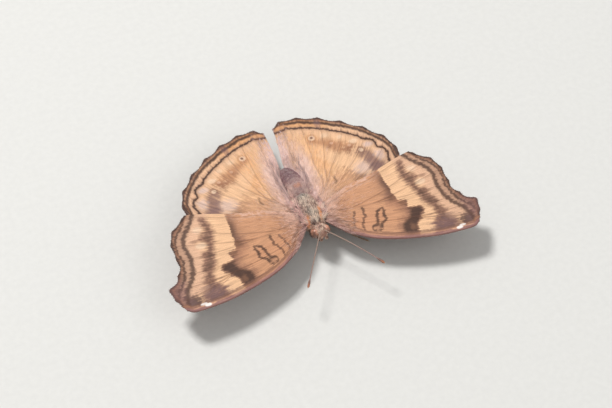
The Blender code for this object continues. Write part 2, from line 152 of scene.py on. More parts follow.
# Lines that carry the markings, in millimetres from each wing's root. An open line runs from the front edge to
# the rear one, and a closed one goes round a patch.
FORE_LINES = {
    "discal": ((15.2, -14), (15.3, -10.4), (15.5, -9.2), (15.8, -8.4), (16.8, -7.9), (16.9, -7.1), (17.8, -6.5),
               (18.0, -5.8), (17.4, -5.1), (16.2, -4.8), (15.4, -4.5), (15.6, -3.8), (15.4, -3.0), (14.5, -2.6),
               (14.0, -2.2), (13.95, -1.4), (13.7, -0.6), (13.8, 0.6), (13.6, 1.8), (13.5, 3.8), (13.3, 9.0)),
    "line_1": ((26.3, -14), (26.2, -10.4), (25.8, -8.9), (25.0, -7.6), (23.9, -6.2), (23.3, -5.0), (22.9, -3.6),
               (22.7, -2.0), (22.8, -0.5), (22.95, 0.8), (22.8, 2.0), (22.1, 3.2), (21.3, 4.3), (20.4, 5.4), (18, 9)),
    "line_2": ((27.9, -14), (27.7, -10.6), (27.1, -8.4), (25.8, -6.6), (24.9, -5.2), (24.7, -4.1), (24.5, -2.8),
               (24.2, -1.8), (24.6, -0.6), (24.5, 0.9), (24.4, 2.2), (23.9, 3.2), (23.1, 4.2), (22.2, 5.2), (20, 9)),
}
FORE_PATCHES = {
    "patch": (
        ((13.0, -10.3), (14.2, -10.6), *FORE_LINES["discal"][1:10], (15.3, -5.0), (15.1, -5.8), (14.7, -6.6),
         (13.4, -7.3), (12.6, -8.3), (12.5, -9.4)),
        ((15.5, -4.3), (15.5, -3.1), (14.5, -2.7), (13.9, -2.8), (14.1, -3.7), (14.8, -4.2)),
        ((13.9, -2.2), (13.9, -1.4), (13.6, -0.8), (12.9, -0.9), (12.5, -1.7), (12.6, -2.3)),
    ),
    "postdiscal": (
        ((18.4, -11.9), (18.6, -10.4), (18.9, -9.2), (19.9, -8.4), (20.0, -7.2), (19.8, -5.9), (18.9, -4.6),
         (18.6, -3.2), (18.4, -2.0), (17.9, -0.9), (17.6, 0.2), (17.3, 1.3), (16.9, 2.3), (17.0, 4.0), (17.7, 5.8),
         (18.4, 5.6), (18.1, 4.2), (18.3, 2.7), (19.5, 2.1), (19.6, 1.2), (18.8, 0.4), (19.2, -1.2), (20.2, -1.6),
         (20.4, -3.2), (20.9, -4.6), (21.1, -6.0), (21.8, -7.5), (22.2, -8.8), (22.8, -10.2), (22.2, -11.4)),
    ),
}
FORE_BARS = (
    ((4.3, -5.1), (4.35, -4.4), (4.75, -3.7), (4.8, -3.1), (5.3, -2.6), (5.3, -2.0)),
    ((5.8, -6.2), (5.8, -5.2), (6.3, -4.6), (6.4, -4.1), (7.1, -3.7), (6.85, -3.0), (7.2, -2.4), (7.1, -1.8)),
    ((8.5, -6.1), (8.9, -5.2), (9.05, -4.4), (9.5, -3.5), (10.1, -3.1), (10.7, -3.0), (10.75, -3.8), (10.35, -4.7),
     (10.5, -5.5), (10.0, -6.0), (9.3, -6.3), (8.5, -6.1)),
    ((7.4, -6.4), (7.3, -7.1), (7.8, -7.6), (8.5, -7.6), (9.1, -7.1), (9.2, -6.4), (8.6, -6.1), (7.9, -6.2),
     (7.4, -6.4)),
)
HIND_LINES = {
    "discal": ((12.9, -5), (11.9, 2.1), (10.9, 3.2), (9.8, 4.3), (8.8, 5.5), (7.7, 6.6), (6.7, 7.3), (5.4, 8.4),
               (3.5, 10.2), (-6, 14)),
    "line_1": ((17.4, -3), (17.6, 4.2), (18.0, 6.3), (17.7, 7.5), (16.7, 8.3), (16.6, 9.6), (16.0, 10.4),
               (14.8, 11.0), (13.8, 12.2), (12.4, 13.3), (10.2, 14.8), (8.4, 15.8), (7.0, 16.6), (5.4, 17.3),
               (3.3, 17.9), (1.5, 18.6), (0.4, 18.3), (-6, 18)),
    "line_2": ((18.9, -3), (19.2, 5.4), (19.1, 7.6), (18.2, 9.4), (17.2, 10.8), (15.7, 12.5), (14.5, 13.8),
               (12.8, 15.0), (10.7, 16.2), (8.7, 17.4), (6.0, 18.5), (4.4, 19.2), (2.3, 19.6), (0.6, 19.9), (-6, 20)),
}
HIND_PATCHES = {
    "postdiscal": (
        ((13.7, 2.0), (13.5, 4.6), (12.9, 6.6), (11.4, 8.2), (9.8, 9.2), (8.2, 10.2), (6.8, 11.8), (5.6, 13.0),
         (4.4, 13.7), (5.2, 14.0), (6.6, 13.4), (8.0, 13.1), (9.5, 12.1), (11.0, 11.3), (12.4, 10.2), (13.6, 9.4),
         (14.6, 8.0), (15.3, 6.6), (15.5, 5.2), (15.9, 4.0), (16.6, 2.4)),
    ),
}
HIND_BARS = (((5.45, 2.6), (5.75, 3.1), (5.85, 3.6), (5.75, 4.1)),)
# A line of painted shade in the fold of a hind wing, beside the abdomen
CREASE_SHADE = ((0.1, 2.0), (0.45, 4.5), (0.75, 7.0), (0.6, 9.5), (0.2, 11.5))  # of a hind wing, beside the abdomen
LINES = {"fore": FORE_LINES, "hind": HIND_LINES}
PATCHES = {"fore": FORE_PATCHES, "hind": HIND_PATCHES}
BARS = {"fore": FORE_BARS, "hind": HIND_BARS}
# Far corners that close an open line round the base of the wing
BASE_CORNERS = {"fore": ((-60, 40), (-60, -40)), "hind": ((-40, -40),)}
# The plan map of a wing: millimetres across it, and what keeps it inside the map
PLAN_SPAN, PLAN_START = 40.0, (3.0, 15.0)
# Hair on a wing: how many, and the point that it fans out from
WING_HAIR = {"fore": (2600, (-2.5, -1.0)), "hind": (3800, (-2.5, -4.0))}
# Where the fringe is white: place on the wing, and how far along the margin
WHITE_FRINGE = {
    "fore": ((27.6, -12.6, 0.9), (28.6, -11.0, 1.1), (28.0, -7.4, 0.6), (26.8, -5.0, 0.9), (26.1, -3.4, 1.1),
             (25.8, -1.8, 0.7), (26.0, 0.5, 0.5), (24.4, 4.4, 0.6)),
    "hind": ((20.2, 5.1, 0.5), (19.8, 9.0, 0.7), (17.9, 12.1, 0.4), (14.9, 15.3, 0.6), (11.0, 18.0, 0.4)),
}


def rgb(code):
    """Turns an sRGB hex colour to linear red, green, blue and alpha."""
    shares = [int(code[k : k + 2], 16) / 255 for k in (1, 3, 5)]
    return (*(c / 12.92 if c <= 0.04045 else ((c + 0.055) / 1.055) ** 2.4 for c in shares), 1.0)


def length(name, description, default):
    """A size that a user may change, given in millimetres."""
    return bpy.props.FloatProperty(
        name=name, description=description, default=default * MM, min=0.0, unit="LENGTH", precision=6
    )


def tint(name, description, code):
    """A colour that a user may change."""
    return bpy.props.FloatVectorProperty(
        name=name, description=description, default=rgb(code), size=4, min=0.0, max=1.0, subtype="COLOR"
    )


class ButterflySizes(bpy.types.PropertyGroup):
    """Sizes of the thin parts that dress the frame."""

    membrane: length("Membrane", "Thickness of a wing between its veins", 0.2)
    vein: length("Vein", "How much thicker a wing is at a vein near its root", 0.16)
    fringe: length("Fringe", "Length of the scales along a wing's outer margin", 0.5)
    thorax_hair: length("Thorax hair", "Length of the hair on the thorax", 1.1)
    flank_hair: length("Flank hair", "Length of the hair that reaches over the wings' roots", 1.6)
    abdomen_hair: length("Abdomen hair", "Length of the scales on the abdomen", 0.5)
    head_hair: length("Head hair", "Length of the hair on the head", 0.6)
    wing_hair: length("Wing hair", "Length of the hair at a wing's base", 1.7)
    feeler: length("Feeler", "Thickness of a feeler's shaft", 0.21)
    club: length("Club", "Thickness of a feeler's club", 0.48)
    facet: length("Facet", "How far a facet of an eye stands out", 0.012)


class ButterflyColours(bpy.types.PropertyGroup):
    """Colours of the scales, the hair and the horny parts."""

    ground: tint("Ground", "Tan of the fore wing's inner half", "#C48F6B")
    root: tint("Root", "Brown tan at a wing's root", "#C48A66")
    hind_ground: tint("Hind ground", "Orange tan of the hind wing", "#DDAF86")
    pale: tint("Pale band", "Cream tan of the pale bands", "#E2B58D")
    outer: tint("Outer field", "Pinkish tan outside the bands", "#D4A88A")
    umber: tint("Umber", "Darkest brown of the markings", "#40271D")
    cocoa: tint("Cocoa", "Brown of the soft bands", "#7C5546")
    line: tint("Line", "Dark brown of the lines along the margin", "#6A4738")
    lilac: tint("Lilac", "Lilac brown of the front edge", "#8E6464")
    purple: tint("Purple", "Purple brown of the soft bands near the front edge", "#75575A")
    rust: tint("Rust", "Orange brown of the hind wing's band and of the margin", "#A86F4A")
    orange: tint("Orange", "Orange between the lines of the hind wing", "#DDA06A")
    spot: tint("Spot", "Cream of the small round spots", "#E8C7A8")
    blob: tint("Front spot", "Lilac white of the hind wing's front spot", "#CFB3A8")
    wing_hair: tint("Wing hair", "Pink cream of the hair at a wing's base", "#ECC8B8")
    strip: tint("Inner strip", "Lilac white of the hind wing's inner edge", "#E0C4C4")
    white: tint("White", "White of the tip mark and the fringe", "#F6EEE8")
    margin: tint("Margin", "Brown of the margin itself", "#65453A")
    under: tint("Underside", "Chocolate brown of the underside", "#6E4C3A")
    under_dark: tint("Underside line", "Dark line of the underside", "#3B261C")
    head: tint("Head hair", "Pinkish brown of the head", "#CCA08C")
    thorax: tint("Thorax hair", "Grey tan of the thorax", "#AC8876")
    flank: tint("Flank hair", "Lilac pink of the hair over the wings' roots", "#DDAEA6")
    cream: tint("Cream hair", "Cream of the palest hair", "#EBD6C0")
    moss: tint("Moss hair", "Greenish grey of the thorax's middle", "#8E9082")
    waist: tint("Waist", "Mauve brown between thorax and abdomen", "#B4908A")
    abdomen: tint("Abdomen", "Purple brown of the abdomen", "#805C60")
    collar: tint("Collar", "Orange of the collar's streaks", "#E2904E")
    eye: tint("Eye", "Pinkish brown of the eye", "#C88E74")
    feeler: tint("Feeler", "Grey tan of the feeler", "#A58C7C")
    club: tint("Club", "Orange brown of the club", "#A5694A")
    leg: tint("Leg", "Pale tan of the legs", "#B99F86")
    tongue: tint("Tongue", "Brown of the tongue", "#5A3C28")
    floor: tint("Floor", "Pale floor", "#D9D8D4")


# Smooth lines and distances


def place(points):
    """Puts millimetres from the thorax's middle in the frame, in metres."""
    start = np.array([(THORAX_LOW.x + THORAX_HIGH.x) / 2, THORAX_LOW.y - THORAX["front"] * MM, THORAX_HEIGHT * MM])
    return np.asarray(points, float) * MM + start


def ease(x):
    """A smooth step: 0 at 0 and below, 1 at 1 and above."""
    x = np.clip(x, 0.0, 1.0)
    return x * x * (3 - 2 * x)


def line_through(points, steps=16):
    """Returns a function that gives the places at shares of the length of a smooth line through the points."""
    points = np.array(points, float)
    ends = np.vstack([2 * points[0] - points[1], points, 2 * points[-1] - points[-2]])
    u = np.arange(steps)[:, None] / steps
    runs = [
        0.5 * (2 * b + (c - a) * u + (2 * a - 5 * b + 4 * c - d) * u**2 + (3 * b - a - 3 * c + d) * u**3)
        for a, b, c, d in zip(ends, ends[1:], ends[2:], ends[3:])
    ]
    line = np.vstack([*runs, points[-1:]])
    lengths = np.concatenate([[0.0], np.cumsum(np.linalg.norm(np.diff(line, axis=0), axis=1))])

    def at(share):
        wanted = np.clip(share, 0.0, 1.0) * lengths[-1]
        return np.stack([np.interp(wanted, lengths, line[:, k]) for k in range(line.shape[1])], -1)

    return at


def distance_to(places, line):
    """How far each flat place is from a line of points."""
    found = np.full(len(places), 1e9)
    for a, b in zip(line, line[1:]):
        run = b - a
        share = np.clip((places - a) @ run / max(run @ run, 1e-12), 0, 1)
        found = np.minimum(found, np.linalg.norm(places - a - share[:, None] * run, axis=1))
    return found


def inside(places, ring):
    """Whether each flat place is inside a closed ring of points."""
    x, y = places.T
    found = np.zeros(len(places), bool)
    for (ax, ay), (bx, by) in zip(ring, np.roll(ring, -1, axis=0)):
        if ay != by:
            found ^= ((ay > y) != (by > y)) & (x < (bx - ax) * (y - ay) / (by - ay) + ax)
    return found


# Wings


def thorax_half_width(y, z):
    """How far the thorax reaches to one side, at a place along it and a height."""
    centre, half = THORAX["centre"], THORAX["half"]
    return half[0] * np.sqrt(np.maximum(0.0, 1 - ((y - centre[1]) / half[1]) ** 2 - (z / half[2]) ** 2))


def wing_plan(wing, side):
    """Returns a function from (share outwards, share backwards) to the place on one side's flat wing."""
    height = max(0.0, abs(wing["root"][2]) - 0.5 * CAD_MEMBRANE)
    front, rear = wing["root_span"]
    apex, tornus = np.array(wing["apex"]), np.array(wing["tornus"])

    def root(t):
        y = front + (rear - front) * np.asarray(t, float)
        return np.stack([thorax_half_width(y, height) - ROOT_OVERLAP, y], -1)

    costa = line_through([root(0), *wing["costa"], apex])
    dorsum = line_through([root(1), *wing["dorsum"][side], tornus])
    margin = line_through([apex, *wing["margin"], tornus])

    def plan(s, t):
        s, t = np.asarray(s, float), np.asarray(t, float)
        back = t[..., None]
        out = s[..., None]
        between = costa(s) * (1 - back) + dorsum(s) * back
        inner = root(t) - (root(0) * (1 - back) + root(1) * back)
        outer = margin(t) - (apex * (1 - back) + tornus * back)
        return between + inner * (1 - out) + outer * out**1.4

    return plan


def vein_share(vein, s):
    """How far back across the wing a vein lies: along its stem first, then out to its own end."""
    start, end, leaves, _ = vein
    u = np.maximum(0.0, (s - leaves) / (1 - leaves))
    return start + (end - start) * (1 - (1 - u) ** 1.6)


def wing_surface(kind, side, sizes):
    """The flat wing's function, its columns, and a function for the places of columns at shares outwards.

    A column is the space between two veins that it is in, and its share of that space."""
    wing = WINGS[kind]
    plan = wing_plan(wing, side)
    steps = np.linspace(0, 1, 41)
    margin = np.linalg.norm(np.diff(plan(np.ones(41), steps), axis=0), axis=1).sum()
    spaces = np.diff([0.0, *(vein[1] for vein in wing["veins"].values()), 1.0]) * margin
    columns = []
    for space, width in enumerate(spaces):
        count = max(3, round(width / WING_STEP))
        columns += [(space, k / count) for k in range(count)]
    columns = np.array([*columns, (len(spaces) - 1, 1.0)])

    def at(s, column):
        """Share backwards, place between two veins from -1 to 1, place on the flat wing, and height."""
        space, share = columns[column].T
        crests = np.stack([np.zeros_like(s), *(vein_share(v, s) for v in wing["veins"].values()), np.ones_like(s)])
        k = space.astype(int)
        here = np.arange(len(s))
        t = crests[k, here] + (crests[k + 1, here] - crests[k, here]) * share
        away = 2 * share - 1
        scallop = SCALLOP * spaces[k] * (1 - away**2) ** 1.6 * ease((s - 0.85) / 0.15)
        inset = scallop + FRINGE["inset"] * sizes.fringe / MM * ease((s - 0.8) / 0.2)
        flat = plan(s, t) + inward(plan, t) * inset[:, None]
        flute = FLUTE * (1 - away**2) * ease((s - 0.1) / 0.4) * np.minimum(1.0, spaces[k] / 2.5)
        return t, away, flat, wing_heights(kind, s, t, flat) - flute

    return plan, columns, at


def wing_heights(kind, s, t, flat):
    """Height of the flat wing's middle, the same as the frame's."""
    wing = WINGS[kind]
    rise = wing["camber"] * np.sin(pi * np.minimum(1.0, s + 0.05)) * np.sin(pi * t)
    beside = ease((2.7 - flat[:, 0]) / 1.4) * ease((14.5 - flat[:, 1]) / 3.0) * ease(8 * s)
    return rise - wing["fold"] * beside


def wing_matrix(kind, side):
    """Takes a wing's millimetres from its root, with outwards along X, to the frame."""
    sign, root = SIDES[side], WINGS[kind]["root"]
    rise, twist, sweep = (radians(a) for a in WING_POSE[kind, side])
    turn = Matrix.Rotation(-sign * rise, 4, "Y") @ Matrix.Rotation(twist, 4, "X")
    turn = turn @ Matrix.Rotation(sign * sweep, 4, "Z")
    start = Vector(place((sign * root[0], root[1], root[2])))
    return Matrix.Translation(start) @ turn @ Matrix.Diagonal((sign * MM, MM, MM, 1.0))


def wing_fields(kind, side, flat):
    """What the markings are drawn by: distances in millimetres on the wing, less than 0 at its base or in a patch."""
    wing = WINGS[kind]
    places = flat - np.array(wing["root"][:2])
    fields = {}
    for name, points in LINES[kind].items():
        line = line_through(points)(np.linspace(0, 1, 160))
        base = inside(places, np.vstack([line, BASE_CORNERS[kind]]))
        fields[name] = distance_to(places, line) * np.where(base, -1, 1)
    for name, rings in PATCHES[kind].items():
        rings = [line_through([*points, points[0]])(np.linspace(0, 1, 90)) for points in rings]
        found = [distance_to(places, ring) * np.where(inside(places, ring), -1, 1) for ring in rings]
        fields[name] = np.min(found, axis=0)
    # the line along which painted shade darkens the hind wing's fold beside the abdomen
    if kind == "hind":
        fields["crease"] = distance_to(places, line_through(CREASE_SHADE)(np.linspace(0, 1, 40)))
    fields["bars"] = np.min([distance_to(places, np.array(points)) for points in BARS[kind]], axis=0)
    plan = wing_plan(wing, side)
    steps, ones = np.linspace(0, 1, 120), np.ones(120)
    for name, edge in (("edge", plan(ones, steps)), ("costal", plan(steps, 0 * ones)), ("rear", plan(steps, ones))):
        fields[name] = distance_to(flat, edge)
    runs = [(vein, np.linspace(*vein[3], 40)) for vein in wing["veins"].values()]
    fields["vein"] = np.min([distance_to(flat, plan(run, vein_share(vein, run))) for vein, run in runs], axis=0)
    return fields


def unit(directions):
    """Directions with length 1."""
    return directions / np.linalg.norm(directions, axis=1)[:, None]


def inward(plan, share):
    """Directions on the flat wing from places on its margin towards its base."""
    return unit(plan(np.full(len(share), 0.9), share) - plan(np.ones(len(share)), share))


def plan_map(kind, flat):
    """Places on the flat wing, from the midline, as the places of its plan map."""
    return (flat - np.array(WINGS[kind]["root"][:2]) + PLAN_START) / PLAN_SPAN


def store(mesh, name, values):
    """Keeps a value or a vector for each vertex on a mesh."""
    vectors = np.ndim(values) == 2
    layer = mesh.attributes.new(name, "FLOAT_VECTOR" if vectors else "FLOAT", "POINT")
    layer.data.foreach_set("vector" if vectors else "value", np.ascontiguousarray(values, np.float32).ravel())


def vertices_of(mesh):
    """The places of a mesh's vertices, in metres."""
    points = np.empty(len(mesh.vertices) * 3)
    mesh.vertices.foreach_get("co", points)
    return points.reshape(-1, 3)


def grid_piece(name, across, along):
    """Adds a grid of faces and returns it with each vertex's column and row."""
    bpy.ops.object.select_all(action="DESELECT")
    bpy.ops.mesh.primitive_grid_add(x_subdivisions=across, y_subdivisions=along, size=1.0)
    piece = bpy.context.object
    piece.name = piece.data.name = name
    points = vertices_of(piece.data)
    column, row = (np.rint((points[:, k] + 0.5) * count).astype(int) for k, count in ((0, across), (1, along)))
    if len(points) != (across + 1) * (along + 1):
        raise RuntimeError(f"{name}: the grid has {len(points)} vertices")
    return piece, column, row


def weld(piece):
    """Closes the seams and poles of a piece and turns its faces outwards."""
    bpy.ops.object.select_all(action="DESELECT")
    piece.select_set(True)
    bpy.context.view_layer.objects.active = piece
    bpy.ops.object.mode_set(mode="EDIT")
    bpy.ops.mesh.select_all(action="SELECT")
    bpy.ops.mesh.remove_doubles(threshold=1e-7)
    bpy.ops.mesh.normals_make_consistent(inside=False)
    bpy.ops.object.mode_set(mode="OBJECT")
    bpy.ops.object.shade_smooth()


def finished(piece, slot, *replaced, finish=()):
    """Gives a piece its finish and its body, and hides the nodes that it stands for; slot is not used."""
    for material in finish:
        piece.data.materials.append(material)
    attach(piece, "root")
    if replaced:
        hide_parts(*replaced)


def build_wing(kind, side, sizes, finish):
    """One thin wing with raised veins, its fields and the plan of its places."""
    plan, columns, at = wing_surface(kind, side, sizes)
    longest = np.linalg.norm(plan(1.0, 0.0) - plan(0.0, 0.0))
    rows = round(longest / WING_STEP)
    piece, column, row = grid_piece(f"wing_{kind}_{side}", len(columns) - 1, rows)
    mesh = piece.data
    s = row / rows
    t, away, flat, up = at(s, column)
    mesh.vertices.foreach_set("co", np.column_stack([flat - WINGS[kind]["root"][:2], up]).ravel())
    fields = wing_fields(kind, side, flat)
    chord = np.linalg.norm(plan(s, np.ones_like(s)) - plan(s, np.zeros_like(s)), axis=1)
    fan = np.column_stack([s * longest, t * FAN_WIDTH, 0.3 * chord])
    for name, values in {**fields, "away": np.abs(away), "out": s, "fan": fan}.items():
        store(mesh, name, values)
    layer = mesh.uv_layers[0]
    layer.name = "Plan"
    corner = np.empty(len(mesh.loops), int)
    mesh.loops.foreach_get("vertex_index", corner)
    layer.uv.foreach_set("vector", plan_map(kind, flat)[corner].astype(np.float32).ravel())

    ridge = np.zeros_like(s)
    for name, (half_width, fade) in RIDGES.items():
        ridge = np.maximum(ridge, np.maximum(0.0, 1 - fields[name] / half_width) * (1 - fade * s))
    membrane, vein = sizes.membrane / MM, sizes.vein / MM
    thickness = membrane * (1 - MARGIN_TAPER * ease((s - 0.75) / 0.25)) + vein * ridge
    group = piece.vertex_groups.new(name="thickness")
    for step in np.unique(np.round(thickness, 3)):
        found = np.nonzero(np.round(thickness, 3) == step)[0]
        group.add(found.tolist(), float(step) / (membrane + vein), "REPLACE")
    mesh.transform(wing_matrix(kind, side))
    normals = np.empty(len(mesh.polygons) * 3)
    mesh.polygons.foreach_get("normal", normals)
    if normals[2::3].mean() < 0:
        mesh.flip_normals()
    for material in finish:
        mesh.materials.append(material)
    solid = piece.modifiers.new("membrane", "SOLIDIFY")
    solid.thickness = sizes.membrane + sizes.vein
    solid.offset = 0.0
    solid.vertex_group = "thickness"
    solid.material_offset = 1
    bpy.ops.object.modifier_apply(modifier=solid.name)
    bpy.ops.object.shade_smooth()
    finished(piece, "wing", f"{kind}wing_{side}")


def wing_direction(kind, side, flat_run):
    """Turns directions on the flat wing to directions from the thorax."""
    turn = np.array(wing_matrix(kind, side))[:3, :3] / MM
    return np.column_stack([flat_run, np.zeros(len(flat_run))]) @ turn.T


def build_fringe(kind, side, sizes, finish):
    """Two rows of flat scales along a wing's outer margin, white between some of the veins."""
    plan, columns, at = wing_surface(kind, side, sizes)
    t, _, edge, up = at(np.ones(len(columns)), np.arange(len(columns)))
    along = np.concatenate([[0.0], np.cumsum(np.linalg.norm(np.diff(edge, axis=0), axis=1))])
    draw = np.random.default_rng(len(kind) * 10 + SIDES[side])
    places = np.concatenate([np.arange(start, along[-1], FRINGE["step"]) for start in (0.03, 0.08)])
    places = np.clip(places + draw.uniform(-0.03, 0.03, len(places)), 0, along[-1])
    flat = np.stack([np.interp(places, along, edge[:, k]) for k in (0, 1)], -1)
    inwards = inward(plan, np.interp(places, along, t))
    sideways = np.stack([-inwards[:, 1], inwards[:, 0]], -1)
    lie = unit(wing_direction(kind, side, -inwards + draw.normal(0, 0.08, len(places))[:, None] * sideways))
    matrix = np.array(wing_matrix(kind, side))
    root = np.array(WINGS[kind]["root"][:2])
    inner = flat + FRINGE["root"] * inwards
    first_row = np.arange(len(places)) < len(places) // 2
    height = np.interp(places, along, up) + np.where(first_row, FRINGE["apart"], -FRINGE["apart"])
    local = np.column_stack([inner - root, height, np.ones(len(places))])
    roots = ((local @ matrix.T)[:, :3] - place((0, 0, 0))) / MM
    out = np.broadcast_to(matrix[:3, 2] / MM, roots.shape)
    pale = np.full(len(places), 0.12)  # a few scales are white everywhere
    for x, y, reach in WHITE_FRINGE[kind]:
        pale = np.maximum(pale, ease(1.5 - np.linalg.norm(flat - root - (x, y), axis=1) / reach))
    pale = pale > draw.uniform(0, 1, len(places))
    size = (sizes.fringe / MM * (0.75 + 0.25 * pale), FRINGE["width"])
    piece = tufts(
        f"fringe_{kind}_{side}", roots, out, lie, size, plan_map(kind, inner), {"pale": pale.astype(float)}, 5,
        flat=0.3, lift=(-4, 5), curl=1.2,
    )
    finished(piece, "wing", finish=[finish])


def hair_density(kind, x, y):
    """How dense the hair is at places from a wing's root: thick near it, and thin further out on the wing."""
    if kind == "fore":
        return np.exp(-(np.maximum(0, x) / 2.4) ** 2) + 0.04 * np.exp(-(x / 8) ** 2) * (y > -1.0)
    base = np.exp(-(np.hypot(x, y + 0.5) / 4.4) ** 2)
    inner_edge = 0.16 * np.exp(-(np.maximum(0, x - 0.3) / 1.5) ** 2)
    return (base + inner_edge + 0.07 * np.exp(-(x / 5.0) ** 2)) * ease((17.0 - y) / 2)


def build_wing_hair(kind, side, sizes, finish):
    """Hair rooted in a wing: it fans out from the body, and on the hind wing it runs back along the inner edge."""
    sign = SIDES[side]
    count, source = WING_HAIR[kind]

    def density(spots, maps, normals):
        return hair_density(kind, *(maps * PLAN_SPAN - PLAN_START).T) * (normals[:, 2] > 0.3)

    roots, out, maps = scatter(bpy.data.objects[f"wing_{kind}_{side}"].data, count, 400 + sign, density)
    places = maps * PLAN_SPAN - PLAN_START
    lie = lying(out, wing_direction(kind, side, unit(places - source)), 410 + sign, 0.1)
    near = np.exp(-np.maximum(0, places[:, 0]) / 3.5)
    fan = np.column_stack([np.hypot(*places.T), FAN_WIDTH * np.arctan2(places[:, 1], places[:, 0] + 2), 0 * near])
    fields = wing_fields(kind, side, places + WINGS[kind]["root"][:2])
    fields |= {"away": np.full(count, 0.4), "out": np.clip(places[:, 0] / 28, 0, 1), "fan": fan}
    size = (sizes.wing_hair / MM * (0.55 + 0.45 * near), 0.04 + 0.025 * near)
    piece = tufts(
        f"hair_{kind}_{side}", roots, out, lie, size, maps, fields, 420 + sign,
        flat=0.5, lift=(1, 6), curl=0.8, planned=True,
    )
    finished(piece, "wing", finish=[finish])


# Hair and scales


# Corners of a blade on three rings and at its tip: rings as shares of its length and width, and corners round a ring
RINGS = ((0.0, 0.8), (0.35, 1.0), (0.75, 0.6))
RING_CORNERS = ((-1.0, -0.3), (1.0, -0.3), (0.0, 0.7))
BLADE = len(RINGS) * len(RING_CORNERS) + 1
PATCH = 0.003  # width of a blade's place on the map of colours


def tufts(name, roots, out, lie, size, bake, fields, seed, flat=0.6, lift=(15, 40), curl=0.6, planned=False):
    """One mesh of thin closed blades: each rises from its root, bends over and ends in a point."""
    count = len(roots)
    draw = np.random.default_rng(seed)
    long_, wide = size
    long_ = long_ * draw.uniform(0.5, 1.2, count)
    wide = wide * draw.uniform(0.75, 1.2, count)
    angle = np.radians(draw.uniform(*lift, count))
    side = unit(np.cross(lie, out))
    points = np.empty((count, BLADE, 3))
    share = np.empty((count, BLADE))
    for k, (f, w) in enumerate((*RINGS, (1.0, 0.0))):
        bend = (angle * (1 - curl * f))[:, None]
        middle = roots + (long_ * f)[:, None] * (np.cos(bend) * lie + np.sin(bend) * out)
        upward = np.cos(bend) * out - np.sin(bend) * lie
        for j, (a, b) in enumerate(RING_CORNERS if k < len(RINGS) else RING_CORNERS[:1]):
            points[:, 3 * k + j] = middle + (0.5 * w * wide)[:, None] * (a * side + flat * b * upward)
            share[:, 3 * k + j] = f
    edges = ((0, 1), (1, 2), (2, 0))
    quads = [(k + a, k + b, k + 3 + b, k + 3 + a) for k in (0, 3) for a, b in edges]
    ends = [(6, 7, 9), (7, 8, 9), (8, 6, 9), (2, 1, 0)]
    loops = np.array([*sum(quads, ()), *sum(ends, ())])
    sizes = np.array([4] * len(quads) + [3] * len(ends))
    mesh = bpy.data.meshes.new(name)
    mesh.vertices.add(count * BLADE)
    mesh.loops.add(count * len(loops))
    mesh.polygons.add(count * len(sizes))
    mesh.vertices.foreach_set("co", place(points.reshape(-1, 3)).ravel())
    corner = (loops[None] + BLADE * np.arange(count)[:, None]).ravel()
    mesh.loops.foreach_set("vertex_index", corner)
    starts = np.concatenate([[0], np.cumsum(np.tile(sizes, count))[:-1]])
    mesh.polygons.foreach_set("loop_start", starts)
    mesh.polygons.foreach_set("use_smooth", np.ones(count * len(sizes), bool))
    mesh.update(calc_edges=True)
    store(mesh, "tip", share.ravel())
    for key, values in {"shade": draw.uniform(0, 1, count), **fields}.items():
        store(mesh, key, np.repeat(values, BLADE, axis=0))
    patch = np.array([(x, y) for y in (-0.5, -0.15, 0.25) for x in (-0.5, 0.5, 0.0)] + [(0.0, 0.5)])
    maps = {"OFBake": (bake[:, None] + PATCH * patch).reshape(-1, 2)}
    if planned:
        maps["Plan"] = np.repeat(bake, BLADE, axis=0)
    for key, spread in maps.items():
        layer = mesh.uv_layers.new(name=key)
        layer.uv.foreach_set("vector", spread[corner].astype(np.float32).ravel())
    mesh.validate()
    piece = bpy.data.objects.new(name, mesh)
    bpy.context.scene.collection.objects.link(piece)
    return piece


def scatter(mesh, wanted, seed, density):
    """Random places on a mesh's faces, with their normals and their places on the piece's own map.

    density() is given the faces' middles in millimetres from the thorax, their maps and their normals."""
    draw = np.random.default_rng(seed)
    mesh.calc_loop_triangles()
    count = len(mesh.loop_triangles)
    corners, loops = np.empty(count * 3, int), np.empty(count * 3, int)
    mesh.loop_triangles.foreach_get("vertices", corners)
    mesh.loop_triangles.foreach_get("loops", loops)
    points = (vertices_of(mesh) - place((0, 0, 0))) / MM
    spots = points[corners.reshape(-1, 3)]
    normal = np.cross(spots[:, 1] - spots[:, 0], spots[:, 2] - spots[:, 0])
    area = np.linalg.norm(normal, axis=1)
    normal /= np.maximum(area, 1e-12)[:, None]
    layer = np.empty(len(mesh.loops) * 2, np.float32)
    mesh.uv_layers[0].uv.foreach_get("vector", layer)
    maps = layer.reshape(-1, 2)[loops.reshape(-1, 3)]
    weight = area * np.maximum(0.0, density(spots.mean(1), maps.mean(1), normal))
    chosen = draw.choice(count, wanted, p=weight / weight.sum())
    a, b = draw.uniform(0, 1, (2, wanted))
    over = a + b > 1
    a[over], b[over] = 1 - a[over], 1 - b[over]
    share = np.stack([1 - a - b, a, b], -1)[:, :, None]
    return (spots[chosen] * share).sum(1), normal[chosen], (maps[chosen] * share).sum(1)


def lying(out, along, seed, stray):
    """A direction on the surface near along, with a little disorder."""
    draw = np.random.default_rng(seed)
    wish = np.broadcast_to(along, out.shape) + draw.normal(0, stray, out.shape)
    wish = wish - (wish * out).sum(1)[:, None] * out
    return wish / np.maximum(np.linalg.norm(wish, axis=1), 1e-9)[:, None]


def everywhere(spots, maps, normals):
    """A density of hair that is the same all over a piece."""
    return np.ones(len(spots))


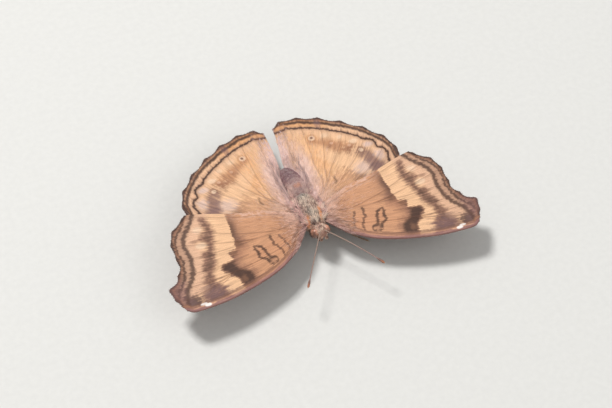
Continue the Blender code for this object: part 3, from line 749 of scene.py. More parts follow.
def build_coat(name, base, seeds, finish, count, density, along, stray, size, flecks, beside=False, **shape):
    """Roots a coat of hair in a piece. Hair beside the body hangs from its root and has the flank's colour.

    seeds are for the places, the directions and the sizes of the hair; size is length and width in millimetres."""
    roots, out, bake = scatter(base, count, seeds[0], density)
    lie = lying(out, along, seeds[1], stray)
    fields = body_fields(roots, flecks)
    if beside:
        lie[:, 2] = np.minimum(lie[:, 2], 0.0)
        lie = unit(lie)
        fields |= {"up": np.full(count, -1.0), "aside": np.full(count, 3.0)}
    piece = tufts(name, roots, out, lie, size, bake, fields, seeds[2], **shape)
    finished(piece, "coat", finish=[finish])


# Body


def body_section(y):
    """Middle and half sizes of the body at places along it, as one smooth form from head to tail."""
    head_c, head_h = HEAD["centre"], HEAD["half"]
    head = np.sqrt(np.maximum(0.0, 1 - ((y - head_c[1]) / head_h[1]) ** 2))
    thorax = np.maximum(0.0, 1 - np.abs((y - THORAX["centre"][1]) / THORAX["half"][1]) ** 2.2) ** 0.5
    front, back = ABDOMEN["front"], ABDOMEN["back"]
    long_ = back - front
    reach = 0.62 * long_  # from the abdomen's widest place to its end
    middle = back - reach
    share = np.clip((y - front) / long_, 0, 1)
    ring = 1 - 0.025 * np.abs(np.cos(pi * ABDOMEN["segments"] * share)) ** 6 * ease(share / 0.2)
    tail = np.maximum(0.0, 1 - np.abs((y - middle) / reach) ** 2.6) ** 0.5 * ring
    tail = np.where(y < middle - 0.8 * reach, np.maximum(tail, 0.75 * ease((y - 3.6) / 1.2)), tail)
    neck = 0.62 * ease((y + 4.4) / 0.8) * ease((-1.4 - y) / 0.8)
    power = 7

    def blended(sizes):
        forms = (head * sizes[0], thorax * sizes[1], tail * sizes[2], neck * sizes[3])
        return sum(np.maximum(f, 0.0) ** power for f in forms) ** (1 / power)

    width = blended((head_h[0], THORAX["half"][0], ABDOMEN["half"][0], 1.5))
    height = blended((head_h[2], THORAX["half"][2], ABDOMEN["half"][1], 1.5))
    x = head_c[0] * ease((-1.6 - y) / 1.6) + ABDOMEN["aside"] * ease((y - 3.4) / 1.6) + ABDOMEN["bend"][0] * share**2
    z = head_c[2] * ease((-1.6 - y) / 1.6) + ABDOMEN["bend"][1] * share**2
    return x, z, width, height


def body_fields(points, flecks=0.0):
    """What the body's marks are drawn by: the place, the distance from the body's own middle and the height."""
    points = np.asarray(points, float)
    middle = body_section(points[:, 1])[0]
    return {
        "root": points,
        "aside": np.abs(points[:, 0] - middle),
        "up": points[:, 2],
        "flecks": np.full(len(points), float(flecks)),
    }


def build_skin(finish):
    """One skin from head to tail."""
    around, along = 96, 230
    piece, column, row = grid_piece("body_skin", around, along)
    front = HEAD["centre"][1] - HEAD["half"][1]
    back = ABDOMEN["back"] - 0.02
    y = (front + back) / 2 - (back - front) / 2 * np.cos(pi * row / along)
    angle = 2 * pi * (column % around) / around
    x, z, width, height = body_section(y)
    pole = (row > 0) & (row < along)
    points = np.column_stack([x + width * np.sin(angle) * pole, y, z + height * np.cos(angle) * pole])
    piece.data.vertices.foreach_set("co", place(points).ravel())
    for name, values in body_fields(points).items():
        store(piece.data, name, values)
    weld(piece)
    finished(piece, "coat", "thorax", "abdomen", "head", finish=[finish])


def between(low, high):
    """A density of hair for the body from one place to another along it."""

    def density(spots, maps, normals):
        y = spots[:, 1]
        return ease((y - low) / 0.9) * ease((high - y) / 0.9) + 0.02 * (y > low) * (y < high)

    return density


def over_roots(sign):
    """A density of hair for one side of the thorax, above the fore wing's root and then above the hind wing's."""

    def density(spots, maps, normals):
        _, y, z = spots.T
        low = 0.95 - 1.3 * ease((y - 1.2) / 1.6)
        beside = (sign * normals[:, 0] > 0.5) * ease((y + 2.4) / 1.2) * ease((5.4 - y) / 1.8)
        return beside * ease((z - low) / 0.3) * ease((low + 0.75 - z) / 0.3)

    return density


# Tubes


def tube(name, points, radii, sides):
    """A closed tube of changing thickness along points, given in millimetres."""
    points, radii = np.array(points, float), np.array(radii, float)
    steps = len(points) - 1
    piece, column, row = grid_piece(name, sides, steps)
    tangent = unit(np.gradient(points, axis=0))
    side = np.cross(tangent, (0.0, 0.0, 1.0))
    if np.linalg.norm(side[0]) < 0.05:
        side[0] = np.cross(tangent[0], (0.0, 1.0, 0.0))
    for k in range(1, len(side)):  # no flips from ring to ring
        side[k] = side[k - 1] - side[k - 1] @ tangent[k] * tangent[k]
    side = unit(side)
    upward = np.cross(side, tangent)
    angle = 2 * pi * (column % sides) / sides
    offset = np.cos(angle)[:, None] * side[row] + np.sin(angle)[:, None] * upward[row]
    piece.data.vertices.foreach_set("co", place(points[row] + offset * radii[row][:, None]).ravel())
    store(piece.data, "along", row / steps)
    weld(piece)
    return piece


def joined(name, pieces):
    """Joins pieces to the first one."""
    bpy.ops.object.select_all(action="DESELECT")
    for piece in pieces:
        piece.select_set(True)
    bpy.context.view_layer.objects.active = pieces[0]
    bpy.ops.object.join()
    pieces[0].name = pieces[0].data.name = name
    return pieces[0]


def rounded(radii):
    """Radii of a rod whose ends close in a point."""
    return np.concatenate([[0.0], radii[1:-1], [0.0]])


# Materials


def add_node(tree, kind, inputs=(), **settings):
    """Adds a node with its settings; inputs gives its sockets, by name or in their order, a value or a link.

    A MapRange has its value first, then what it goes from and what it goes to. A Mix of colours has its share at
    0, its colours at 6 and 7, and gives the mixed colour at 2."""
    made = tree.nodes.new("ShaderNode" + kind)
    for name, value in settings.items():
        setattr(made, name, value)
    for key, value in inputs.items() if isinstance(inputs, dict) else enumerate(inputs):
        if isinstance(value, bpy.types.NodeSocket):
            tree.links.new(value, made.inputs[key])
        else:
            made.inputs[key].default_value = value
    return made


def new_material(name, roughness, **sockets):
    """A material with its shader; sockets are set on the shader itself."""
    material = bpy.data.materials.new(name)
    material.use_nodes = True
    shader = material.node_tree.nodes["Principled BSDF"]
    shader.inputs["Roughness"].default_value = roughness
    shader.inputs["Metallic"].default_value = 0.0
    for socket, value in sockets.items():
        shader.inputs[socket.replace("_", " ")].default_value = value
    return material, material.node_tree, shader


def marking(tree, under, colours, mark, noise, plan):
    """Paints one row of a table of markings over the colour under it."""
    tone, on, start, end, amount, ragged, *only = mark
    factor = None
    for field, none, full in ((on, start, end), *only):
        if isinstance(field, str):
            value = add_node(tree, "Attribute", attribute_name=field.strip("|")).outputs["Fac"]
        else:
            x, y, a, b = field
            spot = add_node(
                tree, "Mapping", {"Vector": plan, "Location": (-x / a, -y / b, 0), "Scale": (1 / a, 1 / b, 0)}
            )
            value = add_node(tree, "VectorMath", (spot.outputs[0],), operation="LENGTH").outputs["Value"]
        if ragged:
            value = add_node(tree, "Math", (noise, ragged, value), operation="MULTIPLY_ADD").outputs[0]
        if field[0] == "|":
            value = add_node(tree, "Math", (value,), operation="ABSOLUTE").outputs[0]
        most = amount if factor is None else 1.0
        reach = add_node(
            tree, "MapRange", (value, none, full, 0.0, most), interpolation_type="SMOOTHSTEP"
        ).outputs[0]
        if factor is None:
            factor = reach
        else:
            factor = add_node(tree, "Math", (factor, reach), operation="MULTIPLY").outputs[0]
    colour = getattr(colours, tone)
    return add_node(tree, "Mix", {0: factor, 6: under, 7: colour}, data_type="RGBA").outputs[2]


# Markings in the order they are painted. A row gives the colour, what it is drawn by, where there it has none of its
# strength and where all of it, its strength, and how ragged its edge is. After those come the places that it is kept
# to, each as what it is drawn by, none and all. A name is a field of the wing in millimetres, a name between bars is
# drawn on both sides of the field's zero, and four numbers are the middle and the half sizes of a round spot, with
# none and all as shares of its size.
FORE_UPPER = (
    ("root", (4.5, -4.4, 6.5, 2.6), 1.1, 0.3, 0.5, 0.3),
    ("wing_hair", (0, 0.5, 3.4, 3.4), 1.1, 0.2, 0.4, 0.6),
    ("wing_hair", "rear", 1.7, 0.2, 0.4, 1.6, ("out", 0.62, 0.4)),
    ("pale", "discal", -0.35, 0.25, 1.0, 0.22),
    ("outer", "line_1", -3.6, -1.4, 0.85, 0.8),
    ("cocoa", "discal", -3.0, -0.3, 0.5, 0.4, ("discal", 0.15, -0.3)),
    ("umber", "discal", -1.7, -0.1, 0.7, 0.4, ("discal", 0.1, -0.1), ((13.4, 0.6, 3.5, 4.2), 1.15, 0.5)),
    ("cocoa", "patch", 1.5, 0.1, 0.5, 1.2, ("discal", 0.1, -0.1)),
    ("umber", "patch", 0.3, -0.55, 0.92, 0.4),
    ("root", (13.7, -2.6, 2.3, 2.2), 1.1, 0.6, 0.3, 0.0, ("discal", 0.1, -0.1)),
    ("root", (14.7, -8.9, 0.8, 1.0), 1.2, 0.2, 0.2, 0.8),
    ("cocoa", "postdiscal", 0.9, -0.3, 0.85, 0.8),
    ("umber", "postdiscal", 0.1, -0.8, 0.5, 0.9, ("away", 1.1, 0.5)),
    ("umber", (20.6, -4.8, 1.2, 1.0), 1.2, 0.3, 0.35, 0.5),
    ("umber", (19.3, -2.4, 1.0, 0.9), 1.2, 0.3, 0.35, 0.5),
    ("purple", (20.8, -10.4, 3.4, 2.8), 1.2, 0.1, 0.6, 0.9),
    ("outer", (22.6, -8.6, 1.5, 1.5), 1.2, 0.3, 0.35, 0.7),
    ("umber", (25.3, -10.8, 2.4, 2.2), 1.15, 0.3, 0.9, 0.6),
    ("purple", "edge", 4.2, 1.2, 0.6, 0.8, ((27.0, -9.5, 4.6, 4.2), 1.1, 0.4)),
    ("spot", (20.0, 0.1, 1.3, 0.8), 1.1, 0.4, 0.75, 0.4),
    ("spot", (19.6, 3.6, 1.2, 0.9), 1.1, 0.4, 0.6, 0.4),
    ("cocoa", (20.6, 1.4, 1.3, 0.5), 1.2, 0.3, 0.55, 0.5),
    ("cocoa", "line_1", -0.6, 0.6, 0.45, 0.5),
    ("umber", "|line_1|", 0.75, 0.12, 0.85, 0.6),
    ("margin", "line_2", 0.0, 0.5, 0.65, 0.3),
    ("cocoa", "line_2", 0.3, 0.9, 0.25, 0.3),
    ("umber", "|line_2|", 0.45, 0.08, 0.85, 0.5),
    ("rust", "edge", 1.2, 1.0, 0.25, 0.3, ("edge", 0.65, 0.8)),
    ("umber", "edge", 0.95, 0.45, 0.9, 0.25),
    ("cocoa", (27.2, -10.2, 2.2, 3.4), 1.1, 0.4, 0.2, 0.5),
    ("lilac", (27.4, -7.6, 2.4, 4.2), 1.1, 0.4, 0.25, 0.5),
    ("root", (9.6, -4.6, 1.0, 1.7), 1.1, 0.4, 0.5, 0.0),
    ("cocoa", (8.3, -6.8, 0.9, 0.8), 1.1, 0.4, 0.35, 0.0),
    ("umber", "bars", 0.38, 0.06, 0.72, 0.35),
    ("umber", "bars", 0.5, 0.1, 0.5, 0.4, ((9.4, -5.2, 2.3, 2.8), 1.0, 0.8)),
    ("root", "costal", 1.5, 0.9, 0.4, 0.4),
    ("lilac", "costal", 1.0, 0.3, 0.85, 0.3),
    ("margin", "costal", 1.6, 1.2, 0.6, 0.3, ("costal", 0.8, 1.1), ("out", 1.0, 0.85)),
    ("margin", "costal", 0.4, 0.05, 0.55, 0.1),
    ("line", "vein", 0.17, 0.04, 0.35, 0.0),
    ("white", (22.75, -12.05, 0.75, 0.34), 1.1, 0.7, 0.85, 0.3),
    ("white", (23.5, -11.7, 0.7, 0.26), 1.1, 0.7, 0.75, 0.3),
)
HIND_UPPER = (
    ("wing_hair", (1.5, 0.4, 4.0, 3.0), 1.1, 0.3, 0.35, 0.6),
    ("root", (8.0, 2.2, 5.5, 3.6), 1.1, 0.3, 0.45, 0.8),
    ("orange", (5.0, 11.0, 2.8, 8.0), 1.1, 0.2, 0.55, 0.4),
    ("strip", (1.6, 8.0, 2.0, 8.0), 1.1, 0.2, 0.5, 0.6),
    ("pale", "discal", -0.4, 0.5, 0.9, 0.7, ((11, 6, 12, 10), 1.1, 0.4)),
    ("pale", "line_1", -2.8, -1.2, 0.6, 0.6, ("away", 1.05, 0.5)),
    ("outer", "line_1", -2.6, -0.6, 0.35, 0.6),
    ("cocoa", "discal", -3.6, 0.2, 0.45, 0.9, ("discal", 0.5, -0.5), ((10.8, 2.0, 4.6, 4.4), 1.1, 0.2)),
    ("line", (10.6, 2.4, 1.8, 1.7), 1.2, 0.2, 0.25, 0.9),
    ("blob", (12.2, 4.4, 2.6, 2.2), 1.2, 0.2, 0.7, 0.5),
    ("cocoa", "postdiscal", 1.1, -0.7, 0.65, 0.6, ((14.5, 5.0, 9, 8), 1.1, 0.3)),
    ("rust", "postdiscal", 1.1, -0.7, 0.7, 0.6, ((7.5, 12.4, 7.5, 4.5), 1.1, 0.5)),
    ("purple", "postdiscal", 0.9, -0.5, 0.5, 0.6, ((14.6, 4.4, 4.4, 4.8), 1.1, 0.3)),
    ("purple", (15.6, 3.6, 2.2, 1.6), 1.2, 0.3, 0.4, 0.6),
    ("cocoa", (11.0, 9.9, 1.3, 0.8), 1.2, 0.3, 0.3, 0.5),
    ("cocoa", (8.0, 11.4, 1.2, 0.7), 1.2, 0.3, 0.25, 0.5),
    ("blob", (16.3, 6.4, 1.3, 1.6), 1.15, 0.3, 0.75, 0.6),
    ("blob", (15.1, 9.4, 1.3, 0.8), 1.15, 0.3, 0.8, 0.4),
    ("spot", (12.7, 11.1, 1.2, 0.7), 1.15, 0.3, 0.75, 0.4),
    ("spot", (10.6, 12.9, 0.9, 0.6), 1.15, 0.3, 0.5, 0.4),
    ("spot", (7.8, 14.3, 1.0, 0.7), 1.15, 0.3, 0.5, 0.4),
    ("cocoa", (13.3, 8.5, 0.95, 0.9), 1.15, 0.6, 0.4, 0.15),
    ("spot", (13.3, 8.45, 0.55, 0.5), 1.15, 0.6, 0.7, 0.15),
    ("rust", (11.6, 10.35, 0.8, 0.75), 1.15, 0.6, 0.35, 0.15),
    ("outer", (11.6, 10.35, 0.45, 0.4), 1.15, 0.5, 0.7, 0.15),
    ("rust", (8.45, 12.0, 0.8, 0.75), 1.15, 0.6, 0.35, 0.15),
    ("outer", (8.45, 12.0, 0.42, 0.4), 1.15, 0.5, 0.7, 0.15),
    ("rust", (5.25, 14.45, 1.1, 1.05), 1.15, 0.8, 0.4, 0.2),
    ("spot", (5.25, 14.45, 0.7, 0.65), 1.1, 0.8, 0.7, 0.1),
    ("cocoa", (5.3, 14.55, 0.4, 0.36), 1.1, 0.4, 0.95, 0.1),
    ("orange", "line_1", 0.1, 0.5, 0.8, 0.0, ((2.5, 19, 9.5, 5), 1.2, 0.5)),
    ("outer", "line_1", 0.1, 0.5, 0.5, 0.0, ((17.5, 9.5, 5.5, 6), 1.2, 0.6)),
    ("cocoa", "|line_1|", 0.9, 0.2, 0.4, 0.35),
    ("umber", "|line_1|", 0.42, 0.08, 0.95, 0.35),
    ("margin", "line_2", 0.2, 0.7, 0.9, 0.15),
    ("cocoa", "line_2", 0.35, 0.95, 0.45, 0.3),
    ("umber", "|line_2|", 0.65, 0.12, 0.95, 0.3),
    ("rust", "edge", 1.3, 1.05, 0.3, 0.4, ("edge", 0.7, 0.9)),
    ("umber", "edge", 0.95, 0.5, 0.9, 0.3),
    ("purple", (7.7, 17.5, 1.0, 1.5), 1.1, 0.3, 0.5, 0.3),
    ("strip", "rear", 3.0, 1.0, 0.5, 1.4, ((0, 6, 30, 11.6), 1.0, 0.75)),
    ("strip", "rear", 1.6, 1.1, 0.5, 0.6, ((0, 6, 30, 11.6), 1.0, 0.75)),
    ("cocoa", (0.3, 18.0, 2.4, 2.6), 1.1, 0.2, 0.35, 0.6),
    # painted shade: a dark line in the hind wing's fold beside the abdomen
    ("purple", "|crease|", 0.35, 0.05, 0.6, 0.3),
    ("umber", "bars", 0.45, 0.05, 0.6, 0.3),
    ("line", "vein", 0.17, 0.04, 0.3, 0.0),
)
UNDERSIDE = (
    ("cocoa", "discal", 0.1, 0.8, 0.5, 0.5),
    ("under_dark", "|discal|", 0.55, 0.15, 0.9, 0.3),
    ("under_dark", "postdiscal", 0.9, -0.4, 0.45, 0.8),
    ("under_dark", "|line_1|", 0.4, 0.1, 0.6, 0.4),
    ("lilac", "edge", 1.6, 0.2, 0.3, 0.5),
    ("under_dark", "vein", 0.2, 0.05, 0.35, 0.0),
)
# The ground colour of each wing's upper side, and its markings
UPPER = {"fore": ("ground", FORE_UPPER), "hind": ("hind_ground", HIND_UPPER)}


def wing_material(name, ground, markings, colours, hair=False):
    """Wing scales: overlapping flat plates of chitin in rows, dull and a little silky, with the markings in their
    own colour. Real scales are 0.05 mm wide, which is too fine to show, so the grain is drawn at about 0.15 mm.
    Hair on a wing has the colour of the scales that it grows between."""
    material, tree, shader = new_material(
        name, 0.62, Sheen_Weight=0.2, Sheen_Roughness=0.45, Specular_IOR_Level=0.3, IOR=1.56
    )
    plan = add_node(tree, "UVMap", uv_map="Plan").outputs[0]
    start = (-PLAN_START[0], -PLAN_START[1], 0)
    scale = (PLAN_SPAN, PLAN_SPAN, 1)
    plan = add_node(tree, "Mapping", {"Vector": plan, "Location": start, "Scale": scale}).outputs[0]
    rough = add_node(tree, "TexNoise", {"Vector": plan, "Scale": 1.5, "Detail": 3.0}).outputs["Fac"]
    # streaks fan out along the veins, as the rows of scales do, and break up the edges of the markings
    fan = add_node(tree, "Attribute", attribute_name="fan").outputs["Vector"]
    drawn = add_node(tree, "Mapping", {"Vector": fan, "Scale": (0.35, 5.0, 1.0)}).outputs[0]
    streak = add_node(tree, "TexNoise", {"Vector": drawn, "Scale": 1.0, "Detail": 3.0}).outputs["Fac"]
    noise = add_node(tree, "Math", (streak, 1.1, rough), operation="MULTIPLY_ADD").outputs[0]
    noise = add_node(tree, "Math", (noise, 1.6, -1.68), operation="MULTIPLY_ADD").outputs[0]
    colour = getattr(colours, ground)
    for mark in markings:
        colour = marking(tree, colour, colours, mark, noise, plan)
    if hair:
        tip = add_node(tree, "Attribute", attribute_name="tip").outputs["Fac"]
        shade = add_node(tree, "Attribute", attribute_name="shade").outputs["Fac"]
        for tone, gain, start in (("wing_hair", 1.6, -0.75), ("purple", -3.5, 0.5)):  # some hairs paler, some darker
            some = add_node(
                tree, "Math", (shade, gain, start), operation="MULTIPLY_ADD", use_clamp=True
            ).outputs[0]
            inputs = {0: some, 6: colour, 7: getattr(colours, tone)}
            colour = add_node(tree, "Mix", inputs, data_type="RGBA").outputs[2]
        value = add_node(tree, "Math", (tip, 0.1, 1.15), operation="MULTIPLY_ADD").outputs[0]
    else:
        grain = add_node(tree, "TexNoise", {"Vector": plan, "Scale": 6.5, "Detail": 1.0}).outputs["Fac"]
        both = add_node(tree, "Math", (streak, 1.6, grain), operation="MULTIPLY_ADD").outputs[0]
        value = add_node(tree, "MapRange", (both, 0.8, 1.8, 0.74, 1.24)).outputs[0]
        bump = add_node(tree, "Bump", {"Height": both, "Strength": 0.4, "Distance": 0.03 * MM}).outputs[0]
        tree.links.new(bump, shader.inputs["Normal"])
    colour = add_node(tree, "HueSaturation", {"Color": colour, "Value": value}).outputs[0]
    tree.links.new(colour, shader.inputs["Base Color"])
    return material


def fringe_material(colours):
    """Fringe scales: longer and looser than those of the membrane, brown at the veins and white between some."""
    material, tree, shader = new_material("fringe_scales", 0.6, Sheen_Weight=0.2, Specular_IOR_Level=0.3, IOR=1.56)
    pale = add_node(tree, "Attribute", attribute_name="pale").outputs["Fac"]
    shade = add_node(tree, "Attribute", attribute_name="shade").outputs["Fac"]
    mixed = add_node(tree, "Mix", {0: shade, 6: colours.margin, 7: colours.umber}, data_type="RGBA").outputs[2]
    mixed = add_node(tree, "Mix", {0: pale, 6: mixed, 7: colours.white}, data_type="RGBA").outputs[2]
    tree.links.new(mixed, shader.inputs["Base Color"])
    return material


COAT_TONES = (  # millimetres along the body, and the colour there
    (-6.5, "head"), (-4.6, "head"), (-3.0, "head"), (-2.3, "thorax"), (1.0, "thorax"), (2.6, "thorax"),
    (4.4, "waist"), (7.0, "waist"), (9.2, "abdomen"), (12.6, "abdomen"),
)
# Marks of the body, in rows like those of the wings: spots are seen from above, and "up" is the height
UPPER_SIDE = ("up", 0.0, 0.7)
BODY_MARKS = (
    ("flank", "aside", 1.2, 2.0, 0.85, 0.5, ((0.1, 1.2, 9.0, 4.4), 1.1, 0.8)),
    ("cream", (0.3, -1.5, 1.0, 1.2), 1.2, 0.3, 0.75, 0.8, UPPER_SIDE),
    ("cream", (1.4, -2.2, 0.5, 0.6), 1.2, 0.4, 0.8, 0.4),
    ("cream", (-0.6, 1.2, 0.6, 1.0), 1.2, 0.2, 0.6, 0.8, UPPER_SIDE),
    ("moss", (-0.5, -0.8, 0.5, 1.2), 1.2, 0.3, 0.5, 0.8, UPPER_SIDE),
    ("moss", (-0.2, 3.2, 1.2, 1.3), 1.2, 0.3, 0.6, 0.8, UPPER_SIDE),
    # painted shade: a dark band where the head meets the thorax
    ("umber", (0.35, -2.45, 1.3, 0.25), 1.2, 0.5, 0.7, 0.5, UPPER_SIDE),
    ("umber", (1.2, 1.7, 0.28, 0.34), 1.2, 0.5, 0.7, 0.3, UPPER_SIDE),
    ("umber", (-0.9, 2.2, 0.2, 1.4), 1.2, 0.4, 0.35, 0.5, UPPER_SIDE),
    ("wing_hair", (-1.5, 6.2, 0.5, 1.8), 1.2, 0.3, 0.4, 0.4),
    ("umber", (-0.1, 4.9, 1.9, 0.5), 1.2, 0.4, 0.12, 0.6, UPPER_SIDE),
)
COLLAR_MARKS = (
    ("collar", (-1.4, -2.7, 0.2, 0.6), 1.2, 0.8, 0.8, 0.1, UPPER_SIDE),
    ("collar", (-1.15, -1.9, 0.2, 0.7), 1.2, 0.8, 0.75, 0.1, UPPER_SIDE),
    ("collar", (0.95, -1.9, 0.2, 0.6), 1.2, 0.8, 0.8, 0.1, UPPER_SIDE),
    ("collar", (1.3, -1.0, 0.2, 0.7), 1.2, 0.8, 0.75, 0.1, UPPER_SIDE),
    ("collar", (0.0, 6.2, 0.8, 0.8), 1.2, 0.2, 0.45, 0.5, UPPER_SIDE),
)


def coat_material(name, colours, hair):
    """Insect hair and body scales: dull fine fibres, paler at their tips, over the same colours as the skin. Each
    fibre differs a little from the next, and a few are cream or dark, which gives the coat its salt and pepper."""
    material, tree, shader = new_material(
        name, 0.7, Sheen_Weight=0.3, Sheen_Roughness=0.4, Specular_IOR_Level=0.35, IOR=1.56
    )
    root = add_node(tree, "Attribute", attribute_name="root").outputs["Vector"]
    rough = add_node(tree, "TexNoise", {"Vector": root, "Scale": 0.9, "Detail": 3.0}).outputs["Fac"]
    y = add_node(tree, "SeparateXYZ", (root,)).outputs["Y"]
    waved = add_node(tree, "Math", (rough, 1.2, y), operation="MULTIPLY_ADD").outputs[0]
    low, high = COAT_TONES[0][0], COAT_TONES[-1][0]
    along = add_node(tree, "MapRange", (waved, low + 0.6, high + 0.6, 0.0, 1.0)).outputs[0]
    ramp = add_node(tree, "ValToRGB", (along,))
    stops = ramp.color_ramp.elements
    for along_body, tone in COAT_TONES[1:-1]:
        stops.new((along_body - low) / (high - low)).color = getattr(colours, tone)
    stops[0].color, stops[-1].color = (getattr(colours, COAT_TONES[k][1]) for k in (0, -1))
    colour = ramp.outputs[0]
    noise = add_node(tree, "Math", (rough, 0.5), operation="SUBTRACT").outputs[0]
    for mark in BODY_MARKS:
        colour = marking(tree, colour, colours, mark, noise, root)
    if hair:
        tip = add_node(tree, "Attribute", attribute_name="tip").outputs["Fac"]
        shade = add_node(tree, "Attribute", attribute_name="shade").outputs["Fac"]
        flecks = add_node(tree, "Attribute", attribute_name="flecks").outputs["Fac"]
        clump = add_node(tree, "TexNoise", {"Vector": root, "Scale": 2.2, "Detail": 1.0}).outputs["Fac"]
        clump = add_node(tree, "Math", (clump, 5.5, -2.45), operation="MULTIPLY_ADD").outputs[0]
        shade = add_node(tree, "Math", (shade, 0.4, clump), operation="MULTIPLY_ADD").outputs[0]
        for tone, start, full in (("cream", 0.62, 1.1), ("umber", 0.3, -0.3)):
            reach = add_node(tree, "MapRange", (shade, start, full, 0.0, 0.85)).outputs[0]
            some = add_node(tree, "Math", (reach, flecks), operation="MULTIPLY").outputs[0]
            inputs = {0: some, 6: colour, 7: getattr(colours, tone)}
            colour = add_node(tree, "Mix", inputs, data_type="RGBA").outputs[2]
        value = add_node(tree, "Math", (tip, 0.35, 1.0), operation="MULTIPLY_ADD").outputs[0]
    else:
        fine = add_node(tree, "TexNoise", {"Vector": root, "Scale": 5.0, "Detail": 2.0}).outputs["Fac"]
        value = add_node(tree, "Math", (fine, 0.4, 0.6), operation="MULTIPLY_ADD").outputs[0]
        bump = add_node(tree, "Bump", {"Height": fine, "Strength": 0.5, "Distance": 0.05 * MM}).outputs[0]
        tree.links.new(bump, shader.inputs["Normal"])
    for mark in COLLAR_MARKS:  # last, so that the flecks don't cover the orange
        colour = marking(tree, colour, colours, mark, noise, root)
    colour = add_node(tree, "HueSaturation", {"Color": colour, "Value": value}).outputs[0]
    tree.links.new(colour, shader.inputs["Base Color"])
    return material


def eye_material(colours):
    """The clear cornea over a compound eye's pigment: glossy, with soft darker patches under it."""
    material, tree, shader = new_material("cornea", 0.28, Coat_Weight=0.5, Coat_Roughness=0.12, IOR=1.5)
    spot = add_node(tree, "TexCoord").outputs["Object"]
    rough = add_node(tree, "TexNoise", {"Vector": spot, "Scale": 1300.0, "Detail": 2.0}).outputs["Fac"]
    amount = add_node(tree, "MapRange", (rough, 0.4, 0.6, 0.0, 0.75)).outputs[0]
    colour = add_node(tree, "Mix", {0: amount, 6: colours.eye, 7: colours.umber}, data_type="RGBA").outputs[2]
    tree.links.new(colour, shader.inputs["Base Color"])
    return material


FEELER_RINGS = 44
FEELER_TONES = (  # along a feeler: colour, from none to full as shares of its length, and how strong
    ("lilac", 0.35, 0.8, 0.4),
    ("margin", 0.85, 0.9, 0.6),
    ("club", 0.92, 0.96, 0.9),
    ("spot", 0.98, 1.0, 0.5),
)


def feeler_material(colours):
    """Scaled horn of a feeler: a pale base and a darker end on every joint, and an orange club."""
    material, tree, shader = new_material("feeler_scales", 0.55, Specular_IOR_Level=0.4, IOR=1.56)
    along = add_node(tree, "Attribute", attribute_name="along").outputs["Fac"]
    turns = add_node(tree, "Math", (along, float(FEELER_RINGS)), operation="MULTIPLY").outputs[0]
    share = add_node(tree, "Math", (turns,), operation="FRACT").outputs[0]
    dark = add_node(tree, "MapRange", (share, 0.45, 0.8, 0.0, 0.55)).outputs[0]
    inputs = {0: dark, 6: colours.feeler, 7: colours.margin}
    colour = add_node(tree, "Mix", inputs, data_type="RGBA").outputs[2]
    for tone, start, full, amount in FEELER_TONES:
        reach = add_node(tree, "MapRange", (along, start, full, 0.0, amount)).outputs[0]
        inputs = {0: reach, 6: colour, 7: getattr(colours, tone)}
        colour = add_node(tree, "Mix", inputs, data_type="RGBA").outputs[2]
    tree.links.new(colour, shader.inputs["Base Color"])
    return material


def horn_material(name, colour, dark, roughness, scale):
    """Bare or thinly scaled chitin: a hard skin with a low shine, mottled at a scale given per metre."""
    material, tree, shader = new_material(name, roughness, Specular_IOR_Level=0.45, IOR=1.56)
    spot = add_node(tree, "TexCoord").outputs["Object"]
    rough = add_node(tree, "TexNoise", {"Vector": spot, "Scale": scale, "Detail": 3.0}).outputs["Fac"]
    amount = add_node(tree, "MapRange", (rough, 0.42, 0.66, 0.0, 0.6)).outputs[0]
    mixed = add_node(tree, "Mix", {0: amount, 6: colour, 7: dark}, data_type="RGBA").outputs[2]
    tree.links.new(mixed, shader.inputs["Base Color"])
    bump = add_node(tree, "Bump", {"Height": rough, "Strength": 0.3, "Distance": 0.03 * MM}).outputs[0]
    tree.links.new(bump, shader.inputs["Normal"])
    return material


# Operators


class BUTTERFLY_OT_wings(bpy.types.Operator):
    """Builds the four wings with their veins and markings"""

    bl_idname = "butterfly.wings"
    bl_label = "Wings"

    def execute(self, context):
        sizes, colours = context.scene.butterfly_sizes, context.scene.butterfly_colours
        for kind, ground_and_marks in UPPER.items():
            upper = wing_material(f"{kind}_wing_scales", *ground_and_marks, colours)
            under = wing_material(f"{kind}_wing_scales_underside", "under", UNDERSIDE, colours)
            for side in SIDES:
                build_wing(kind, side, sizes, (upper, under))
        return {"FINISHED"}


class BUTTERFLY_OT_wing_hair(bpy.types.Operator):
    """Roots the fringe and the hair in the wings"""

    bl_idname = "butterfly.wing_hair"
    bl_label = "Wing hair"

    def execute(self, context):
        sizes, colours = context.scene.butterfly_sizes, context.scene.butterfly_colours
        fringe = fringe_material(colours)
        for kind, ground_and_marks in UPPER.items():
            hair = wing_material(f"{kind}_wing_hair", *ground_and_marks, colours, hair=True)
            for side in SIDES:
                build_fringe(kind, side, sizes, fringe)
                build_wing_hair(kind, side, sizes, hair)
        return {"FINISHED"}


class BUTTERFLY_OT_skin(bpy.types.Operator):
    """Builds the skin of head, thorax and abdomen as one piece"""

    bl_idname = "butterfly.skin"
    bl_label = "Skin"

    def execute(self, context):
        build_skin(coat_material("scaled_skin", context.scene.butterfly_colours, hair=False))
        return {"FINISHED"}


